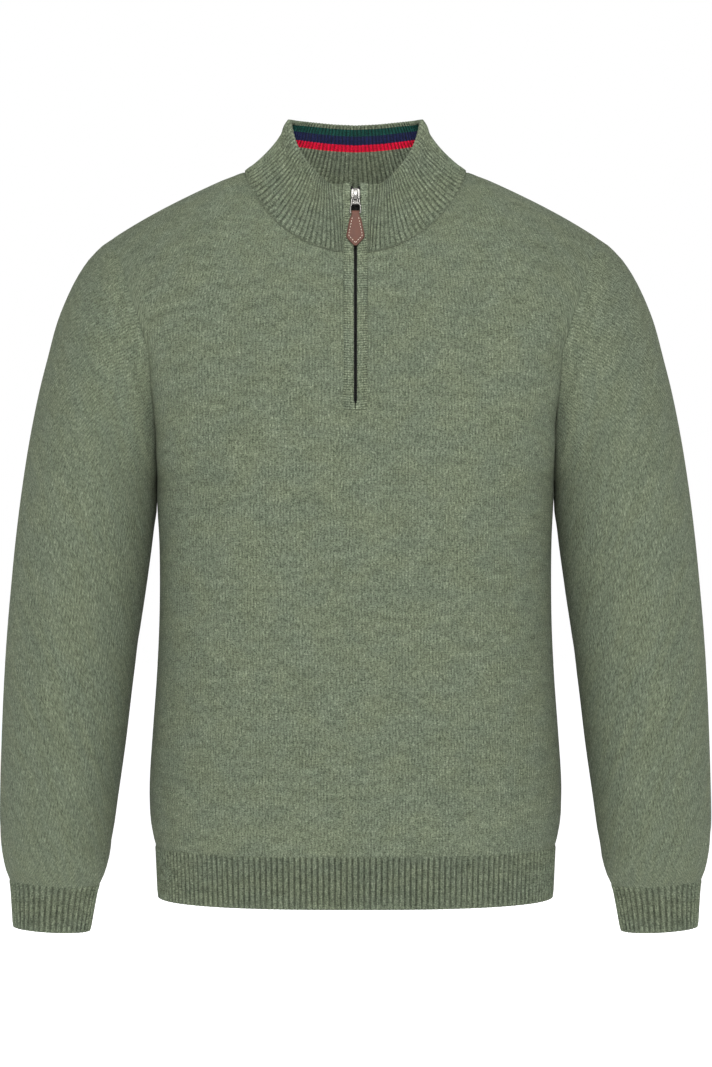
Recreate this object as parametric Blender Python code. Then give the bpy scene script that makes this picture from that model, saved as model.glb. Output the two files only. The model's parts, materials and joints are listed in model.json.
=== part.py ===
"""Quarter zip sweater on its hollow worn form.

Metres, +Z up, the front faces -Y and the wearer's left is +X. The origin is the middle of the line
between the two points where the shoulder seams meet the collar.
"""
import math

import bmesh
import bpy
from mathutils import Matrix, Vector

# Cloth thicknesses and the gap at every seam
JERSEY = 0.0025
RIB = 0.0032
COLLAR_WALL = 0.0042
SEAM_GAP = 0.0003
COLLAR_SEAM_GAP = 0.0010
SLEEVE_SEAM_GAP = 0.0007
# Cosine of the angle past which a seam is a fold, where each wall keeps its own normal
FOLD_COSINE = 0.8

# Neck opening: an oval in plan that drops to the front
NECK_HALF = 0.105
NECK_FRONT = 0.084
NECK_BACK = 0.072
NECK_DROP_FRONT = 0.087
NECK_DROP_BACK = 0.014
NECK_DROP_POWER = 1.32

# Shoulder seam, from the neck oval's side to the sleeve
SHOULDER_HALF = 0.234
SHOULDER_DROP = 0.066
SHOULDER_STRAIGHTNESS = 0.86

# Zip opening in the front and between the collar's ends
SLIT_HALF = 0.0108
SLIT_BOTTOM = -0.2375

# Grid sizes: cells across half a panel, how many of them end at the neck, and cells up the yoke
HALF_CELLS = 12
NECK_CELLS = 5
YOKE_CELLS = 6
COLLAR_CELLS = 5
SECTION_POWER = 2.4
ARMHOLE_FLARE = 0.22

# Side seam sections: height, half width, front depth, back depth
BODY_SECTIONS = (
    (-0.6460, 0.1950, 0.1275, 0.1240),
    (-0.6227, 0.1987, 0.1315, 0.1285),
    (-0.5878, 0.1989, 0.1318, 0.1288),
    (-0.5413, 0.1959, 0.1295, 0.1255),
    (-0.4947, 0.1925, 0.1272, 0.1220),
    (-0.4481, 0.1901, 0.1262, 0.1195),
    (-0.4050, 0.1893, 0.1262, 0.1195),
    (-0.3600, 0.1897, 0.1275, 0.1215),
    (-0.3250, 0.1912, 0.1292, 0.1240),
)
HEM_SEAM_SECTION = (-0.6532, 0.1930, 0.1255, 0.1215)
HEM_SECTIONS = (
    (-0.7030, 0.1906, 0.1230, 0.1190),
    (-0.6800, 0.1916, 0.1238, 0.1198),
    (-0.6600, 0.1925, 0.1245, 0.1205),
    HEM_SEAM_SECTION,
)

# Armhole sections: height, edge half width, front edge depth, back edge depth,
# front depth, back depth, wrap (1 where the section turns straight back at its edge)
ARMHOLE_SECTIONS = (
    (-0.3050, 0.1915, 0.0000, 0.0000, 0.1300, 0.1255, 1.00),
    (-0.2900, 0.1903, 0.0280, 0.0300, 0.1305, 0.1262, 1.00),
    (-0.2680, 0.1905, 0.0470, 0.0510, 0.1308, 0.1270, 1.00),
    (SLIT_BOTTOM, 0.1918, 0.0630, 0.0690, 0.1300, 0.1275, 0.99),
    (-0.2100, 0.1938, 0.0740, 0.0810, 0.1272, 0.1275, 0.97),
    (-0.1800, 0.1957, 0.0810, 0.0880, 0.1225, 0.1265, 0.94),
)

# Sleeve sections: outer x, outer z, inner x, inner z, middle y, half depth
SLEEVE_SECTIONS = (
    (0.2450, -0.0735, 0.1918, -0.3075, 0.002, 0.0860),
    (0.2585, -0.0873, 0.1920, -0.3105, 0.002, 0.0830),
    (0.2731, -0.1106, 0.1922, -0.3140, 0.001, 0.0800),
    (0.2881, -0.1455, 0.1924, -0.3180, 0.001, 0.0775),
    (0.2980, -0.1820, 0.1926, -0.3225, 0.000, 0.0755),
    (0.3070, -0.2180, 0.1928, -0.3270, 0.000, 0.0740),
    (0.3157, -0.2619, 0.1932, -0.3330, 0.000, 0.0725),
    (0.3230, -0.3085, 0.1955, -0.3480, 0.000, 0.0710),
    (0.3290, -0.3570, 0.1985, -0.3740, -0.001, 0.0695),
    (0.3335, -0.4050, 0.2038, -0.4120, -0.003, 0.0680),
    (0.3370, -0.4500, 0.2098, -0.4530, -0.006, 0.0665),
    (0.3397, -0.5000, 0.2160, -0.5030, -0.010, 0.0650),
    (0.3412, -0.5500, 0.2217, -0.5540, -0.015, 0.0630),
    (0.3420, -0.6000, 0.2284, -0.6040, -0.021, 0.0600),
    (0.3418, -0.6330, 0.2328, -0.6380, -0.025, 0.0565),
    (0.3392, -0.6580, 0.2366, -0.6630, -0.028, 0.0510),
    (0.3354, -0.6750, 0.2414, -0.6800, -0.030, 0.0440),
)
CUFF_SEAM_SECTION = (0.3318, -0.6840, 0.2456, -0.6890, -0.031, 0.0385)
CUFF_SECTIONS = (
    CUFF_SEAM_SECTION,
    (0.3304, -0.6910, 0.2482, -0.6960, -0.0315, 0.0365),
    (0.3290, -0.7100, 0.2518, -0.7150, -0.032, 0.0350),
    (0.3278, -0.7290, 0.2550, -0.7335, -0.033, 0.0345),
)

# Collar's top edge from the zip round to the middle of the back: x, y, z and the hollow of its side
COLLAR_SECTIONS = (
    (SLIT_HALF, -0.0765, -0.0215, 0.0000),
    (0.0245, -0.0745, -0.0207, 0.0010),
    (0.0385, -0.0680, -0.0080, 0.0020),
    (0.0510, -0.0545, 0.0085, 0.0035),
    (0.0592, -0.0330, 0.0265, 0.0050),
    (0.0642, -0.0040, 0.0468, 0.0060),
    (0.0644, 0.0200, 0.0520, 0.0060),
    (0.0575, 0.0420, 0.0538, 0.0050),
    (0.0425, 0.0570, 0.0540, 0.0040),
    (0.0222, 0.0650, 0.0530, 0.0035),
    (0.0000, 0.0670, 0.0522, 0.0035),
)

# Zip: depths are measured inwards from the surface of the front
BINDING_PROUD = 0.0008
BINDING_WALL = 0.0030
BINDING_OUTER = SLIT_HALF - SEAM_GAP
BINDING_INNER = 0.0014
BINDING_INNER_AT_SLIDER = 0.0046
SLIDER_ZONE_BOTTOM = 0.66
TAPE_DEPTH = 0.0028
TAPE_WALL = 0.0006
TAPE_INNER = 0.0024
TAPE_OUTER = 0.0104
CHAIN_DEPTH = 0.0026
CHAIN_WALL = 0.0016
CHAIN_HALF = 0.0020
CHAIN_TOP = -0.0312
CHAIN_BOTTOM = -0.2325
TAPE_TOP = -0.0235

# Slider, in the frame of the puller's hinge: +Z up along the collar, -Y outwards
HINGE_HEIGHT = -0.0352
PULL_OUT = 0.0031
PLATE_PROUD = 0.0009
PLATE_WALL = 0.0013
CHANNEL_DEPTH = 0.0045
SLIDER_TOP = 0.0084
SLIDER_BOTTOM = -0.0053
SLIDER_TOP_HALF = 0.0042
SLIDER_BOTTOM_HALF = 0.0030
WEDGE_HALF = 0.0012
WEDGE_HEIGHT = 0.0030
BRIDGE_HALF = 0.0018
BRIDGE_REACH = 0.0023
BRIDGE_BAR = 0.0012
BRIDGE_POST = 0.0020
BRIDGE_BOTTOM = -0.0027

# Puller frame and leather tab, hanging from the hinge
WIRE_RADIUS = 0.00075
FRAME_TOP_HALF = 0.0030
FRAME_NECK_HALF = 0.0041
FRAME_NECK_DROP = 0.0060
FRAME_LOOP_HALF = 0.0049
TAB_HINGE_DROP = 0.0150
TAB_WALL = 0.0028
TAB_FOLD_RADIUS = 0.0019
TAB_BORE_RADIUS = 0.00105
TAB_TOP_HALF = 0.0038
TAB_LENGTH = 0.0316
# Half outline of the tab below its fold: half width, distance down
TAB_OUTLINE = (
    (TAB_TOP_HALF, 0.0000),
    (TAB_TOP_HALF, 0.0030),
    (0.0056, 0.0062),
    (0.0072, 0.0140),
    (0.0086, 0.0205),
    (0.0087, 0.0222),
    (0.0080, 0.0243),
    (0.0022, 0.0306),
    (0.0010, 0.0314),
)

SAGE = (0.19, 0.225, 0.145)
SAGE_RIB = (0.165, 0.2, 0.125)
BLACK = (0.012, 0.012, 0.011)
NICKEL = (0.72, 0.71, 0.69)
LEATHER = (0.21, 0.11, 0.08)


def clear_scene():
    for item in list(bpy.data.objects):
        bpy.data.objects.remove(item, do_unlink=True)


def material(name, colour, roughness, metallic=0.0):
    made = bpy.data.materials.new(name)
    made.use_nodes = True
    shader = made.node_tree.nodes["Principled BSDF"]
    shader.inputs["Base Color"].default_value = (*colour, 1.0)
    shader.inputs["Roughness"].default_value = roughness
    shader.inputs["Metallic"].default_value = metallic
    return made


def mesh_object(name, points, faces, finish, collection):
    mesh = bpy.data.meshes.new(name)
    mesh.from_pydata([tuple(point) for point in points], [], faces)
    mesh.materials.append(finish)
    made = bpy.data.objects.new(name, mesh)
    collection.objects.link(made)
    return made


# ---------------------------------------------------------------- body panels

def across(cell):
    """Fraction of the way from the slit to the side edge; cells crowd towards the edge."""
    return math.sin(math.pi / 2 * cell / HALF_CELLS) ** (2 / SECTION_POWER)


def section_curve(fraction, wrap):
    """1 at the middle of a section and 0 at its edge, a superellipse cut off at wrap."""
    def rise(value):
        return (1 - min(value, 1.0) ** SECTION_POWER) ** (1 / SECTION_POWER)
    return (rise(wrap * fraction) - rise(wrap)) / (1 - rise(wrap))


def section_row(height, half_width, edge_depth, depth, wrap, facing):
    """Points of one level section from the middle of a panel to its edge."""
    row = []
    for cell in range(HALF_CELLS + 1):
        fraction = across(cell)
        x = SLIT_HALF + (half_width - SLIT_HALF) * fraction
        y = edge_depth + (depth - edge_depth) * section_curve(fraction, wrap)
        row.append(Vector((x, facing * y, height)))
    return row


def neck_point(angle, facing):
    """Point of the neck seam; the angle is 0 in the middle of a panel and 90 degrees at the shoulder."""
    level = max(math.cos(angle), 0.0)
    if facing < 0:
        return Vector((NECK_HALF * math.sin(angle), -NECK_FRONT * level,
                       -NECK_DROP_FRONT * level ** NECK_DROP_POWER))
    return Vector((NECK_HALF * math.sin(angle), NECK_BACK * level, -NECK_DROP_BACK * level ** 2))


def neck_angle(cell):
    start = math.asin(SLIT_HALF / NECK_HALF)
    return start + (math.pi / 2 - start) * cell / NECK_CELLS


def shoulder_point(fraction):
    fall = SHOULDER_STRAIGHTNESS * fraction + (1 - SHOULDER_STRAIGHTNESS) * fraction ** 3
    return Vector((NECK_HALF + (SHOULDER_HALF - NECK_HALF) * fraction, 0.0, -SHOULDER_DROP * fall))


def top_point(cell, facing):
    """Top end of a column of cells and the direction in which the cloth arrives there."""
    if cell <= NECK_CELLS:
        angle = neck_angle(cell)
        turn, rise = math.sin(angle), math.cos(angle)
        return neck_point(angle, facing), Vector((-0.5 * turn, -facing * (0.4 + 0.4 * turn),
                                                  0.1 * turn + 0.92 * rise))
    fraction = (cell - NECK_CELLS) / (HALF_CELLS - NECK_CELLS)
    fade = max(1 - 3 * fraction, 0.0)
    return shoulder_point(fraction), Vector((-0.5 * fade, -facing * (1 - 0.2 * fade), 0.1 * fade))


def hermite(start, end, leave, arrive, fraction):
    span = (end - start).length
    leave = leave.normalized() * span
    arrive = arrive.normalized() * span
    f2 = fraction * fraction
    f3 = f2 * fraction
    return (start * (2 * f3 - 3 * f2 + 1) + leave * (f3 - 2 * f2 + fraction)
            + end * (3 * f2 - 2 * f3) + arrive * (f3 - f2))


def half_panel(facing):
    """Rows of points from the hem seam up to the shoulder and neck, for x >= the slit's edge."""
    rows = []
    for height, half_width, front, back in (HEM_SEAM_SECTION, *BODY_SECTIONS):
        depth = front if facing < 0 else back
        rows.append(section_row(height, half_width, 0.0, depth, 1.0, facing))
    for height, half_width, front_edge, back_edge, front, back, wrap in ARMHOLE_SECTIONS:
        edge, depth = (front_edge, front) if facing < 0 else (back_edge, back)
        rows.append(section_row(height, half_width, edge, depth, wrap, facing))
    chest, below = rows[-1], rows[-2]
    for step in range(1, YOKE_CELLS + 1):
        row = []
        for cell in range(HALF_CELLS + 1):
            top, arrive = top_point(cell, facing)
            leave = (chest[cell] - below[cell]).normalized()
            leave += Vector((ARMHOLE_FLARE * across(cell), 0.0, 0.0))
            row.append(hermite(chest[cell], top, leave, arrive, step / YOKE_CELLS))
        rows.append(row)
    return rows


def mirrored(row):
    """A whole row from the wearer's right edge to the left one."""
    return [Vector((-point.x, point.y, point.z)) for point in reversed(row)] + list(row)


def grid_faces(row_count, column_count, closed, outward_first, skipped=()):
    """Quads between neighbouring rows; skipped holds (row, column) cells left open."""
    faces = []
    columns = column_count if closed else column_count - 1
    for row in range(row_count - 1):
        for column in range(columns):
            if (row, column) in skipped:
                continue
            right = (column + 1) % column_count
            quad = (row * column_count + column, row * column_count + right,
                    (row + 1) * column_count + right, (row + 1) * column_count + column)
            faces.append(quad if outward_first else tuple(reversed(quad)))
    return faces


def sheet(rows, closed, outward_first, wall, skipped=(), gap=SEAM_GAP):
    points = [point for row in rows for point in row]
    faces = grid_faces(len(rows), len(rows[0]), closed, outward_first, skipped)
    used = sorted({index for face in faces for index in face})
    place = {index: number for number, index in enumerate(used)}
    return {"points": [points[index].copy() for index in used],
            "faces": [tuple(place[index] for index in face) for face in faces],
            "wall": wall, "gap": gap}


def body_sheets():
    front = [mirrored(row) for row in half_panel(-1)]
    back = [mirrored(row) for row in half_panel(1)]
    slit_start = 1 + len(BODY_SECTIONS) + [row[0] for row in ARMHOLE_SECTIONS].index(SLIT_BOTTOM)
    slit = {(row, HALF_CELLS) for row in range(slit_start, len(front) - 1)}
    return (sheet(front, False, True, JERSEY, slit), sheet(back, False, False, JERSEY))


def hem_sheet(facing):
    rows = []
    for height, half_width, front, back in HEM_SECTIONS:
        depth = front if facing < 0 else back
        rows.append(mirrored(section_row(height, half_width, 0.0, depth, 1.0, facing)))
    return sheet(rows, False, facing < 0, RIB)


# ---------------------------------------------------------------- sleeves

def armhole_loop():
    """Edge of the left armhole from the shoulder down the front to the underarm and up the back."""
    start = 1 + len(BODY_SECTIONS)
    front = [row[-1] for row in half_panel(-1)[start:]]
    back = [row[-1] for row in half_panel(1)[start:]]
    return list(reversed(front)) + back[1:-1]


def ring_angles(loop, share):
    """Angles round a sleeve, from the armhole points' own angles (share 0) to even ones (share 1)."""
    count = len(loop)
    top, bottom = loop[0], loop[count // 2]
    middle = (top + bottom) / 2
    up = (top - bottom).normalized()
    reach = (top - bottom).length / 2
    depth = max(abs(point.y) for point in loop)
    angles = []
    for number, point in enumerate(loop):
        even = 2 * math.pi * number / count
        own = math.atan2(-point.y / depth, (point - middle).dot(up) / reach) % (2 * math.pi)
        angles.append(own + (even - own) * share)
    return angles


def sleeve_ring(section, angles):
    outer_x, outer_z, inner_x, inner_z, middle_y, half_depth = section
    outer = Vector((outer_x, middle_y, outer_z))
    inner = Vector((inner_x, middle_y, inner_z))
    middle = (outer + inner) / 2
    half = (outer - inner) / 2
    return [middle + half * math.cos(angle) + Vector((0.0, -half_depth * math.sin(angle), 0.0))
            for angle in angles]


def sleeve_rows():
    loop = armhole_loop()
    rows = [loop]
    settle = 6
    for number, section in enumerate((*SLEEVE_SECTIONS, CUFF_SEAM_SECTION)):
        rows.append(sleeve_ring(section, ring_angles(loop, min((number + 1) / settle, 1.0))))
    return rows


def cuff_rows():
    angles = ring_angles(armhole_loop(), 1.0)
    return [sleeve_ring(section, angles) for section in CUFF_SECTIONS]


def other_side(rows):
    return [[Vector((-point.x, point.y, point.z)) for point in row] for row in rows]


# ---------------------------------------------------------------- collar

def collar_column(cell):
    """Points up the collar's outer side at one of its sections, from the neck seam to the top."""
    x, y, z, hollow = COLLAR_SECTIONS[cell]
    top = Vector((x, y, z))
    if cell <= NECK_CELLS:
        base = neck_point(neck_angle(cell), -1)
    else:
        base = neck_point(math.pi / 2 - math.pi / 2 * (cell - NECK_CELLS) / NECK_CELLS, 1)
    away = Vector((base.x, base.y, 0.0)).normalized()
    column = []
    for step in range(COLLAR_CELLS + 1):
        fraction = step / COLLAR_CELLS
        column.append(base.lerp(top, fraction) - away * (hollow * 4 * fraction * (1 - fraction)))
    return column


def collar_sheet():
    half = [collar_column(cell) for cell in range(len(COLLAR_SECTIONS))]
    left = [[Vector((-point.x, point.y, point.z)) for point in column] for column in half]
    columns = left + half[-2::-1]
    rows = [[column[step] for column in columns] for step in range(COLLAR_CELLS + 1)]
    return sheet(rows, False, False, COLLAR_WALL, gap=COLLAR_SEAM_GAP)


# ---------------------------------------------------------------- walls of the cloth pieces

def face_normal(points, face):
    a, b, c, d = (points[index] for index in face)
    return (c - a).cross(d - b)


def key_of(point):
    return tuple(round(value * 100000) for value in point)


def shared_normals(sheets):
    """Mean outward normal at each place, over all the pieces that meet there."""
    sums = {}
    for piece in sheets:
        for face in piece["faces"]:
            normal = face_normal(piece["points"], face)
            for index in face:
                key = key_of(piece["points"][index])
                sums[key] = sums.get(key, Vector()) + normal
    return {key: total.normalized() for key, total in sums.items()}


def open_edges(faces):
    """Directed edges that have no face on their other side, with the face they belong to."""
    edges = {}
    for face in faces:
        for start, end in zip(face, face[1:] + face[:1]):
            edges[(start, end)] = face
    return {edge: face for edge, face in edges.items() if (edge[1], edge[0]) not in edges}


def seam_shifts(piece):
    """How far each edge point steps back into its piece, so that seams keep their gap."""
    inward = {}
    for (start, end), face in open_edges(piece["faces"]).items():
        points = piece["points"]
        along = (points[end] - points[start]).normalized()
        step = face_normal(points, face).normalized().cross(along)
        for index in (start, end):
            inward.setdefault(index, []).append(step)
    shifts = {}
    for index, steps in inward.items():
        total = sum(steps, Vector())
        scale = 1 + steps[0].dot(steps[-1]) if len(steps) > 1 else 1.0
        shifts[index] = total * (piece["gap"] / 2 / max(scale, 0.35))
    return shifts


def cloth_wall(name, piece, normals, finish, collection):
    """A closed wall: the sheet outside, its offset inside, and rims along every open edge.

    Pieces of one thickness share the normals at their seams, so their rims lie face to face.
    """
    points = piece["points"]
    shifts = seam_shifts(piece)
    own = shared_normals([piece])
    outside = [point + shifts.get(index, Vector()) for index, point in enumerate(points)]
    inside = []
    for point, place in zip(points, outside):
        key = key_of(point)
        smooth = own[key].dot(normals[key]) > FOLD_COSINE
        inside.append(place - (normals if smooth else own)[key] * piece["wall"])
    count = len(points)
    faces = list(piece["faces"])
    faces += [tuple(index + count for index in reversed(face)) for face in piece["faces"]]
    faces += [(end, start, start + count, end + count) for start, end in open_edges(piece["faces"])]
    return mesh_object(name, outside + inside, faces, finish, collection)


# ---------------------------------------------------------------- zip on the front

def front_line():
    """Middle of the front from the collar's top down to the slit's end, as (point, outward)."""
    collar = [Vector((0.0, point.y, point.z)) for point in reversed(collar_column(0))]
    rows = half_panel(-1)
    first = len(rows) - YOKE_CELLS - len(ARMHOLE_SECTIONS)
    panel = [Vector((0.0, row[0].y, row[0].z)) for row in rows[first:-1]
             if row[0].z > SLIT_BOTTOM - 0.0001]
    line = collar + list(reversed(panel))
    result = []
    for number, point in enumerate(line):
        above = line[max(number - 1, 0)]
        below = line[min(number + 1, len(line) - 1)]
        down = (below - above).normalized()
        result.append((point, Vector((0.0, down.z, -down.y))))
    return result


def line_between(top, bottom):
    """Part of the front line between two heights, with new points at both ends."""
    line = front_line()
    part = []
    for (start, start_out), (end, end_out) in zip(line, line[1:]):
        for height in (top, bottom):
            if start.z >= height > end.z:
                fraction = (start.z - height) / (start.z - end.z)
                part.append((start.lerp(end, fraction), start_out.lerp(end_out, fraction).normalized()))
        if top > end.z > bottom:
            part.append((end, end_out))
    return part


def strip(name, line, halves, depth, wall, side, finish, collection):
    """A band along the front line; halves gives the inner and outer x at each of its points."""
    outside, inside = [], []
    for (point, outward), (near, far) in zip(line, halves):
        for x in (near, far):
            place = point + Vector((side * x, 0.0, 0.0)) - outward * depth
            outside.append(place)
            inside.append(place - outward * wall)
    faces = grid_faces(len(line), 2, False, side < 0)
    count = len(outside)
    walls = [tuple(index + count for index in reversed(face)) for face in faces]
    rims = [(end, start, start + count, end + count) for start, end in open_edges(faces)]
    return mesh_object(name, outside + inside, faces + walls + rims, finish, collection)


def zip_parts(collection, rib, black):
    top = COLLAR_SECTIONS[0][2] - 0.0001
    slider_foot = top + (neck_point(neck_angle(0), -1).z - top) * (1 - SLIDER_ZONE_BOTTOM)
    binding_line = (line_between(top, slider_foot)
                    + line_between(slider_foot - 0.0065, SLIT_BOTTOM + SEAM_GAP))
    halves = [(BINDING_INNER_AT_SLIDER if point.z > slider_foot - 0.0001 else BINDING_INNER,
               BINDING_OUTER) for point, _ in binding_line]
    tape_line = line_between(TAPE_TOP, SLIT_BOTTOM + 2 * SEAM_GAP)
    for side, word in ((1, "left"), (-1, "right")):
        strip(f"{word}_zip_binding", binding_line, halves, -BINDING_PROUD, BINDING_WALL, side,
              rib, collection)
        strip(f"{word}_zip_tape", tape_line, [(TAPE_INNER, TAPE_OUTER)] * len(tape_line),
              TAPE_DEPTH, TAPE_WALL, side, black, collection)
    chain_line = line_between(CHAIN_TOP, CHAIN_BOTTOM)
    strip("zip_chain", chain_line, [(-CHAIN_HALF, CHAIN_HALF)] * len(chain_line),
          CHAIN_DEPTH, CHAIN_WALL, 1, black, collection)


# ---------------------------------------------------------------- slider and puller

def prism(name, outline, near, far, axis, collection):
    """An outline pushed along X or Y; it is given as (x, z) for Y and as (y, z) for X."""
    mesh = bmesh.new()
    made = []
    for first, second in outline:
        place = (first, near, second) if axis == "Y" else (near, first, second)
        made.append(mesh.verts.new(place))
    face = mesh.faces.new(made)
    pushed = bmesh.ops.extrude_face_region(mesh, geom=[face])
    step = (0.0, far - near, 0.0) if axis == "Y" else (far - near, 0.0, 0.0)
    moved = [item for item in pushed["geom"] if isinstance(item, bmesh.types.BMVert)]
    bmesh.ops.translate(mesh, verts=moved, vec=step)
    bmesh.ops.recalc_face_normals(mesh, faces=mesh.faces)
    data = bpy.data.meshes.new(name)
    mesh.to_mesh(data)
    mesh.free()
    made_object = bpy.data.objects.new(name, data)
    collection.objects.link(made_object)
    return made_object


def rod(name, radius, start, end, collection, sides=12):
    """A round bar between two points."""
    mesh = bmesh.new()
    along = Vector(end) - Vector(start)
    turn = along.to_track_quat("Z", "Y").to_matrix().to_4x4()
    place = Matrix.Translation((Vector(start) + Vector(end)) / 2) @ turn
    bmesh.ops.create_cone(mesh, cap_ends=True, segments=sides, radius1=radius, radius2=radius,
                          depth=along.length, matrix=place)
    data = bpy.data.meshes.new(name)
    mesh.to_mesh(data)
    mesh.free()
    made = bpy.data.objects.new(name, data)
    collection.objects.link(made)
    return made


def combine(target, others, operation, cutters):
    """Join or cut the target with the others, which stay as guides in the cutters' collection."""
    for other in others:
        for owner in list(other.users_collection):
            owner.objects.unlink(other)
        cutters.objects.link(other)
        other.parent = target.parent
        other.hide_render = True
        other.display_type = "WIRE"
        step = target.modifiers.new(operation.lower(), "BOOLEAN")
        step.operation = operation
        step.solver = "EXACT"
        step.object = other
    return target


def finish_as(target, finish, parent):
    target.data.materials.append(finish)
    target.parent = parent
    for step in target.modifiers:
        if step.type == "BOOLEAN":
            step.object.parent = parent


def slider(collection, cutters, finish, hinge):
    face = PULL_OUT - PLATE_PROUD
    outline = ((-SLIDER_BOTTOM_HALF, SLIDER_BOTTOM), (SLIDER_BOTTOM_HALF, SLIDER_BOTTOM),
               (SLIDER_TOP_HALF, 0.0012), (SLIDER_TOP_HALF, SLIDER_TOP - 0.0014),
               (SLIDER_TOP_HALF - 0.0014, SLIDER_TOP), (-SLIDER_TOP_HALF + 0.0014, SLIDER_TOP),
               (-SLIDER_TOP_HALF, SLIDER_TOP - 0.0014), (-SLIDER_TOP_HALF, 0.0012))
    plate = prism("zip_slider", outline, face, face + PLATE_WALL, "Y", collection)
    back_face = face + PLATE_WALL + CHANNEL_DEPTH
    back_plate = prism("slider_back_plate", outline, back_face, back_face + PLATE_WALL, "Y", cutters)
    wedge_outline = ((-WEDGE_HALF, SLIDER_TOP - WEDGE_HEIGHT), (WEDGE_HALF, SLIDER_TOP - WEDGE_HEIGHT),
                     (WEDGE_HALF, SLIDER_TOP - 0.0003), (-WEDGE_HALF, SLIDER_TOP - 0.0003))
    wedge = prism("slider_wedge", wedge_outline, face + PLATE_WALL / 2, back_face + PLATE_WALL / 2,
                  "Y", cutters)
    root = face + PLATE_WALL / 2
    out, under = -BRIDGE_REACH, -BRIDGE_REACH + BRIDGE_BAR
    high, low = SLIDER_TOP - 0.0002, BRIDGE_BOTTOM
    arch = ((root, high), (root, high - BRIDGE_POST), (under, high - BRIDGE_POST),
            (under, low + BRIDGE_POST * 0.8), (root, low + BRIDGE_POST * 0.8), (root, low),
            (out + 0.0006, low), (out, low + 0.0008), (out, high - 0.0010), (out + 0.0008, high))
    bridge = prism("slider_bridge", arch, -BRIDGE_HALF, BRIDGE_HALF, "X", cutters)
    combine(plate, (back_plate, wedge, bridge), "UNION", cutters)
    finish_as(plate, finish, hinge)


def puller_frame(collection, cutters, finish, hinge):
    neck, foot = -FRAME_NECK_DROP, -TAB_HINGE_DROP
    reach = WIRE_RADIUS * 0.9
    bar = rod("puller_frame", WIRE_RADIUS, (-FRAME_TOP_HALF - reach, 0.0, 0.0),
              (FRAME_TOP_HALF + reach, 0.0, 0.0), collection)
    rods = []
    for side, word in ((1, "left"), (-1, "right")):
        rods.append(rod(f"frame_leg_{word}", WIRE_RADIUS * 0.97, (side * FRAME_TOP_HALF, 0.0, 0.0004),
                        (side * FRAME_NECK_HALF, 0.0, neck - 0.0003), cutters, 10))
        rods.append(rod(f"frame_side_{word}", WIRE_RADIUS * 0.94, (side * FRAME_LOOP_HALF, 0.0, neck + 0.0006),
                        (side * FRAME_LOOP_HALF, 0.0, foot - 0.0006), cutters, 10))
    rods.append(rod("frame_crossbar", WIRE_RADIUS * 1.25, (-FRAME_LOOP_HALF - reach, 0.0, neck),
                    (FRAME_LOOP_HALF + reach, 0.0, neck), cutters))
    rods.append(rod("frame_lower_bar", WIRE_RADIUS * 0.92, (-FRAME_LOOP_HALF - 0.0005, 0.0, foot),
                    (FRAME_LOOP_HALF + 0.0005, 0.0, foot), cutters))
    combine(bar, rods, "UNION", cutters)
    finish_as(bar, finish, hinge)


def leather_tab(collection, cutters, finish, hinge):
    right = [(half, -down) for half, down in TAB_OUTLINE]
    outline = right + [(0.0, -TAB_LENGTH)] + [(-half, z) for half, z in reversed(right)]
    tab = prism("leather_tab", outline, -TAB_WALL / 2, TAB_WALL / 2, "Y", collection)
    fold = rod("tab_fold", TAB_FOLD_RADIUS, (-TAB_TOP_HALF + 0.0001, 0.0, 0.0),
               (TAB_TOP_HALF - 0.0001, 0.0, 0.0), cutters, 16)
    bore = rod("tab_bore", TAB_BORE_RADIUS, (-0.006, 0.0, 0.0), (0.006, 0.0, 0.0), cutters, 12)
    combine(tab, (fold,), "UNION", cutters)
    combine(tab, (bore,), "DIFFERENCE", cutters)
    finish_as(tab, finish, hinge)


def empty(name, place, tilt, parent, collection):
    made = bpy.data.objects.new(name, None)
    made.empty_display_size = 0.005
    made.location = place
    made.rotation_euler = (tilt, 0.0, 0.0)
    made.parent = parent
    collection.objects.link(made)
    return made


def main():
    clear_scene()
    collection = bpy.data.collections.new("quarter_zip_sweater")
    cutters = bpy.data.collections.new("cutters")
    bpy.context.scene.collection.children.link(collection)
    bpy.context.scene.collection.children.link(cutters)

    jersey = material("sage_jersey", SAGE, 0.95)
    rib = material("sage_rib", SAGE_RIB, 0.95)
    black = material("zip_black", BLACK, 0.6)
    metal = material("nickel", NICKEL, 0.25, 1.0)
    leather = material("brown_leather", LEATHER, 0.6)

    front, back = body_sheets()
    sleeve, cuff = sleeve_rows(), cuff_rows()
    pieces = {
        "front_panel": (front, jersey),
        "back_panel": (back, jersey),
        "left_sleeve": (sheet(sleeve, True, True, JERSEY, gap=SLEEVE_SEAM_GAP), jersey),
        "right_sleeve": (sheet(other_side(sleeve), True, False, JERSEY, gap=SLEEVE_SEAM_GAP), jersey),
        "left_cuff": (sheet(cuff, True, True, RIB), rib),
        "right_cuff": (sheet(other_side(cuff), True, False, RIB), rib),
        "front_hem_rib": (hem_sheet(-1), rib),
        "back_hem_rib": (hem_sheet(1), rib),
        "collar": (collar_sheet(), rib),
    }
    for name, (piece, finish) in pieces.items():
        alike = [other for other, _ in pieces.values() if other["wall"] == piece["wall"]]
        cloth_wall(name, piece, shared_normals(alike), finish, collection)

    zip_parts(collection, rib, black)
    line_point, outward = line_between(HINGE_HEIGHT, HINGE_HEIGHT - 0.01)[0]
    tilt = -math.asin(outward.z)
    pull_hinge = empty("pull_hinge", line_point + outward * PULL_OUT, tilt, None, collection)
    tab_hinge = empty("tab_hinge", (0.0, 0.0, -TAB_HINGE_DROP), 0.0, pull_hinge, collection)
    slider(collection, cutters, metal, pull_hinge)
    puller_frame(collection, cutters, metal, pull_hinge)
    leather_tab(collection, cutters, leather, tab_hinge)


main()
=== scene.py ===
"""Quarter zip sweater: heathered lambswool jersey and rib, a short zip and a stitched leather tab."""
import json
import math

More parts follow.
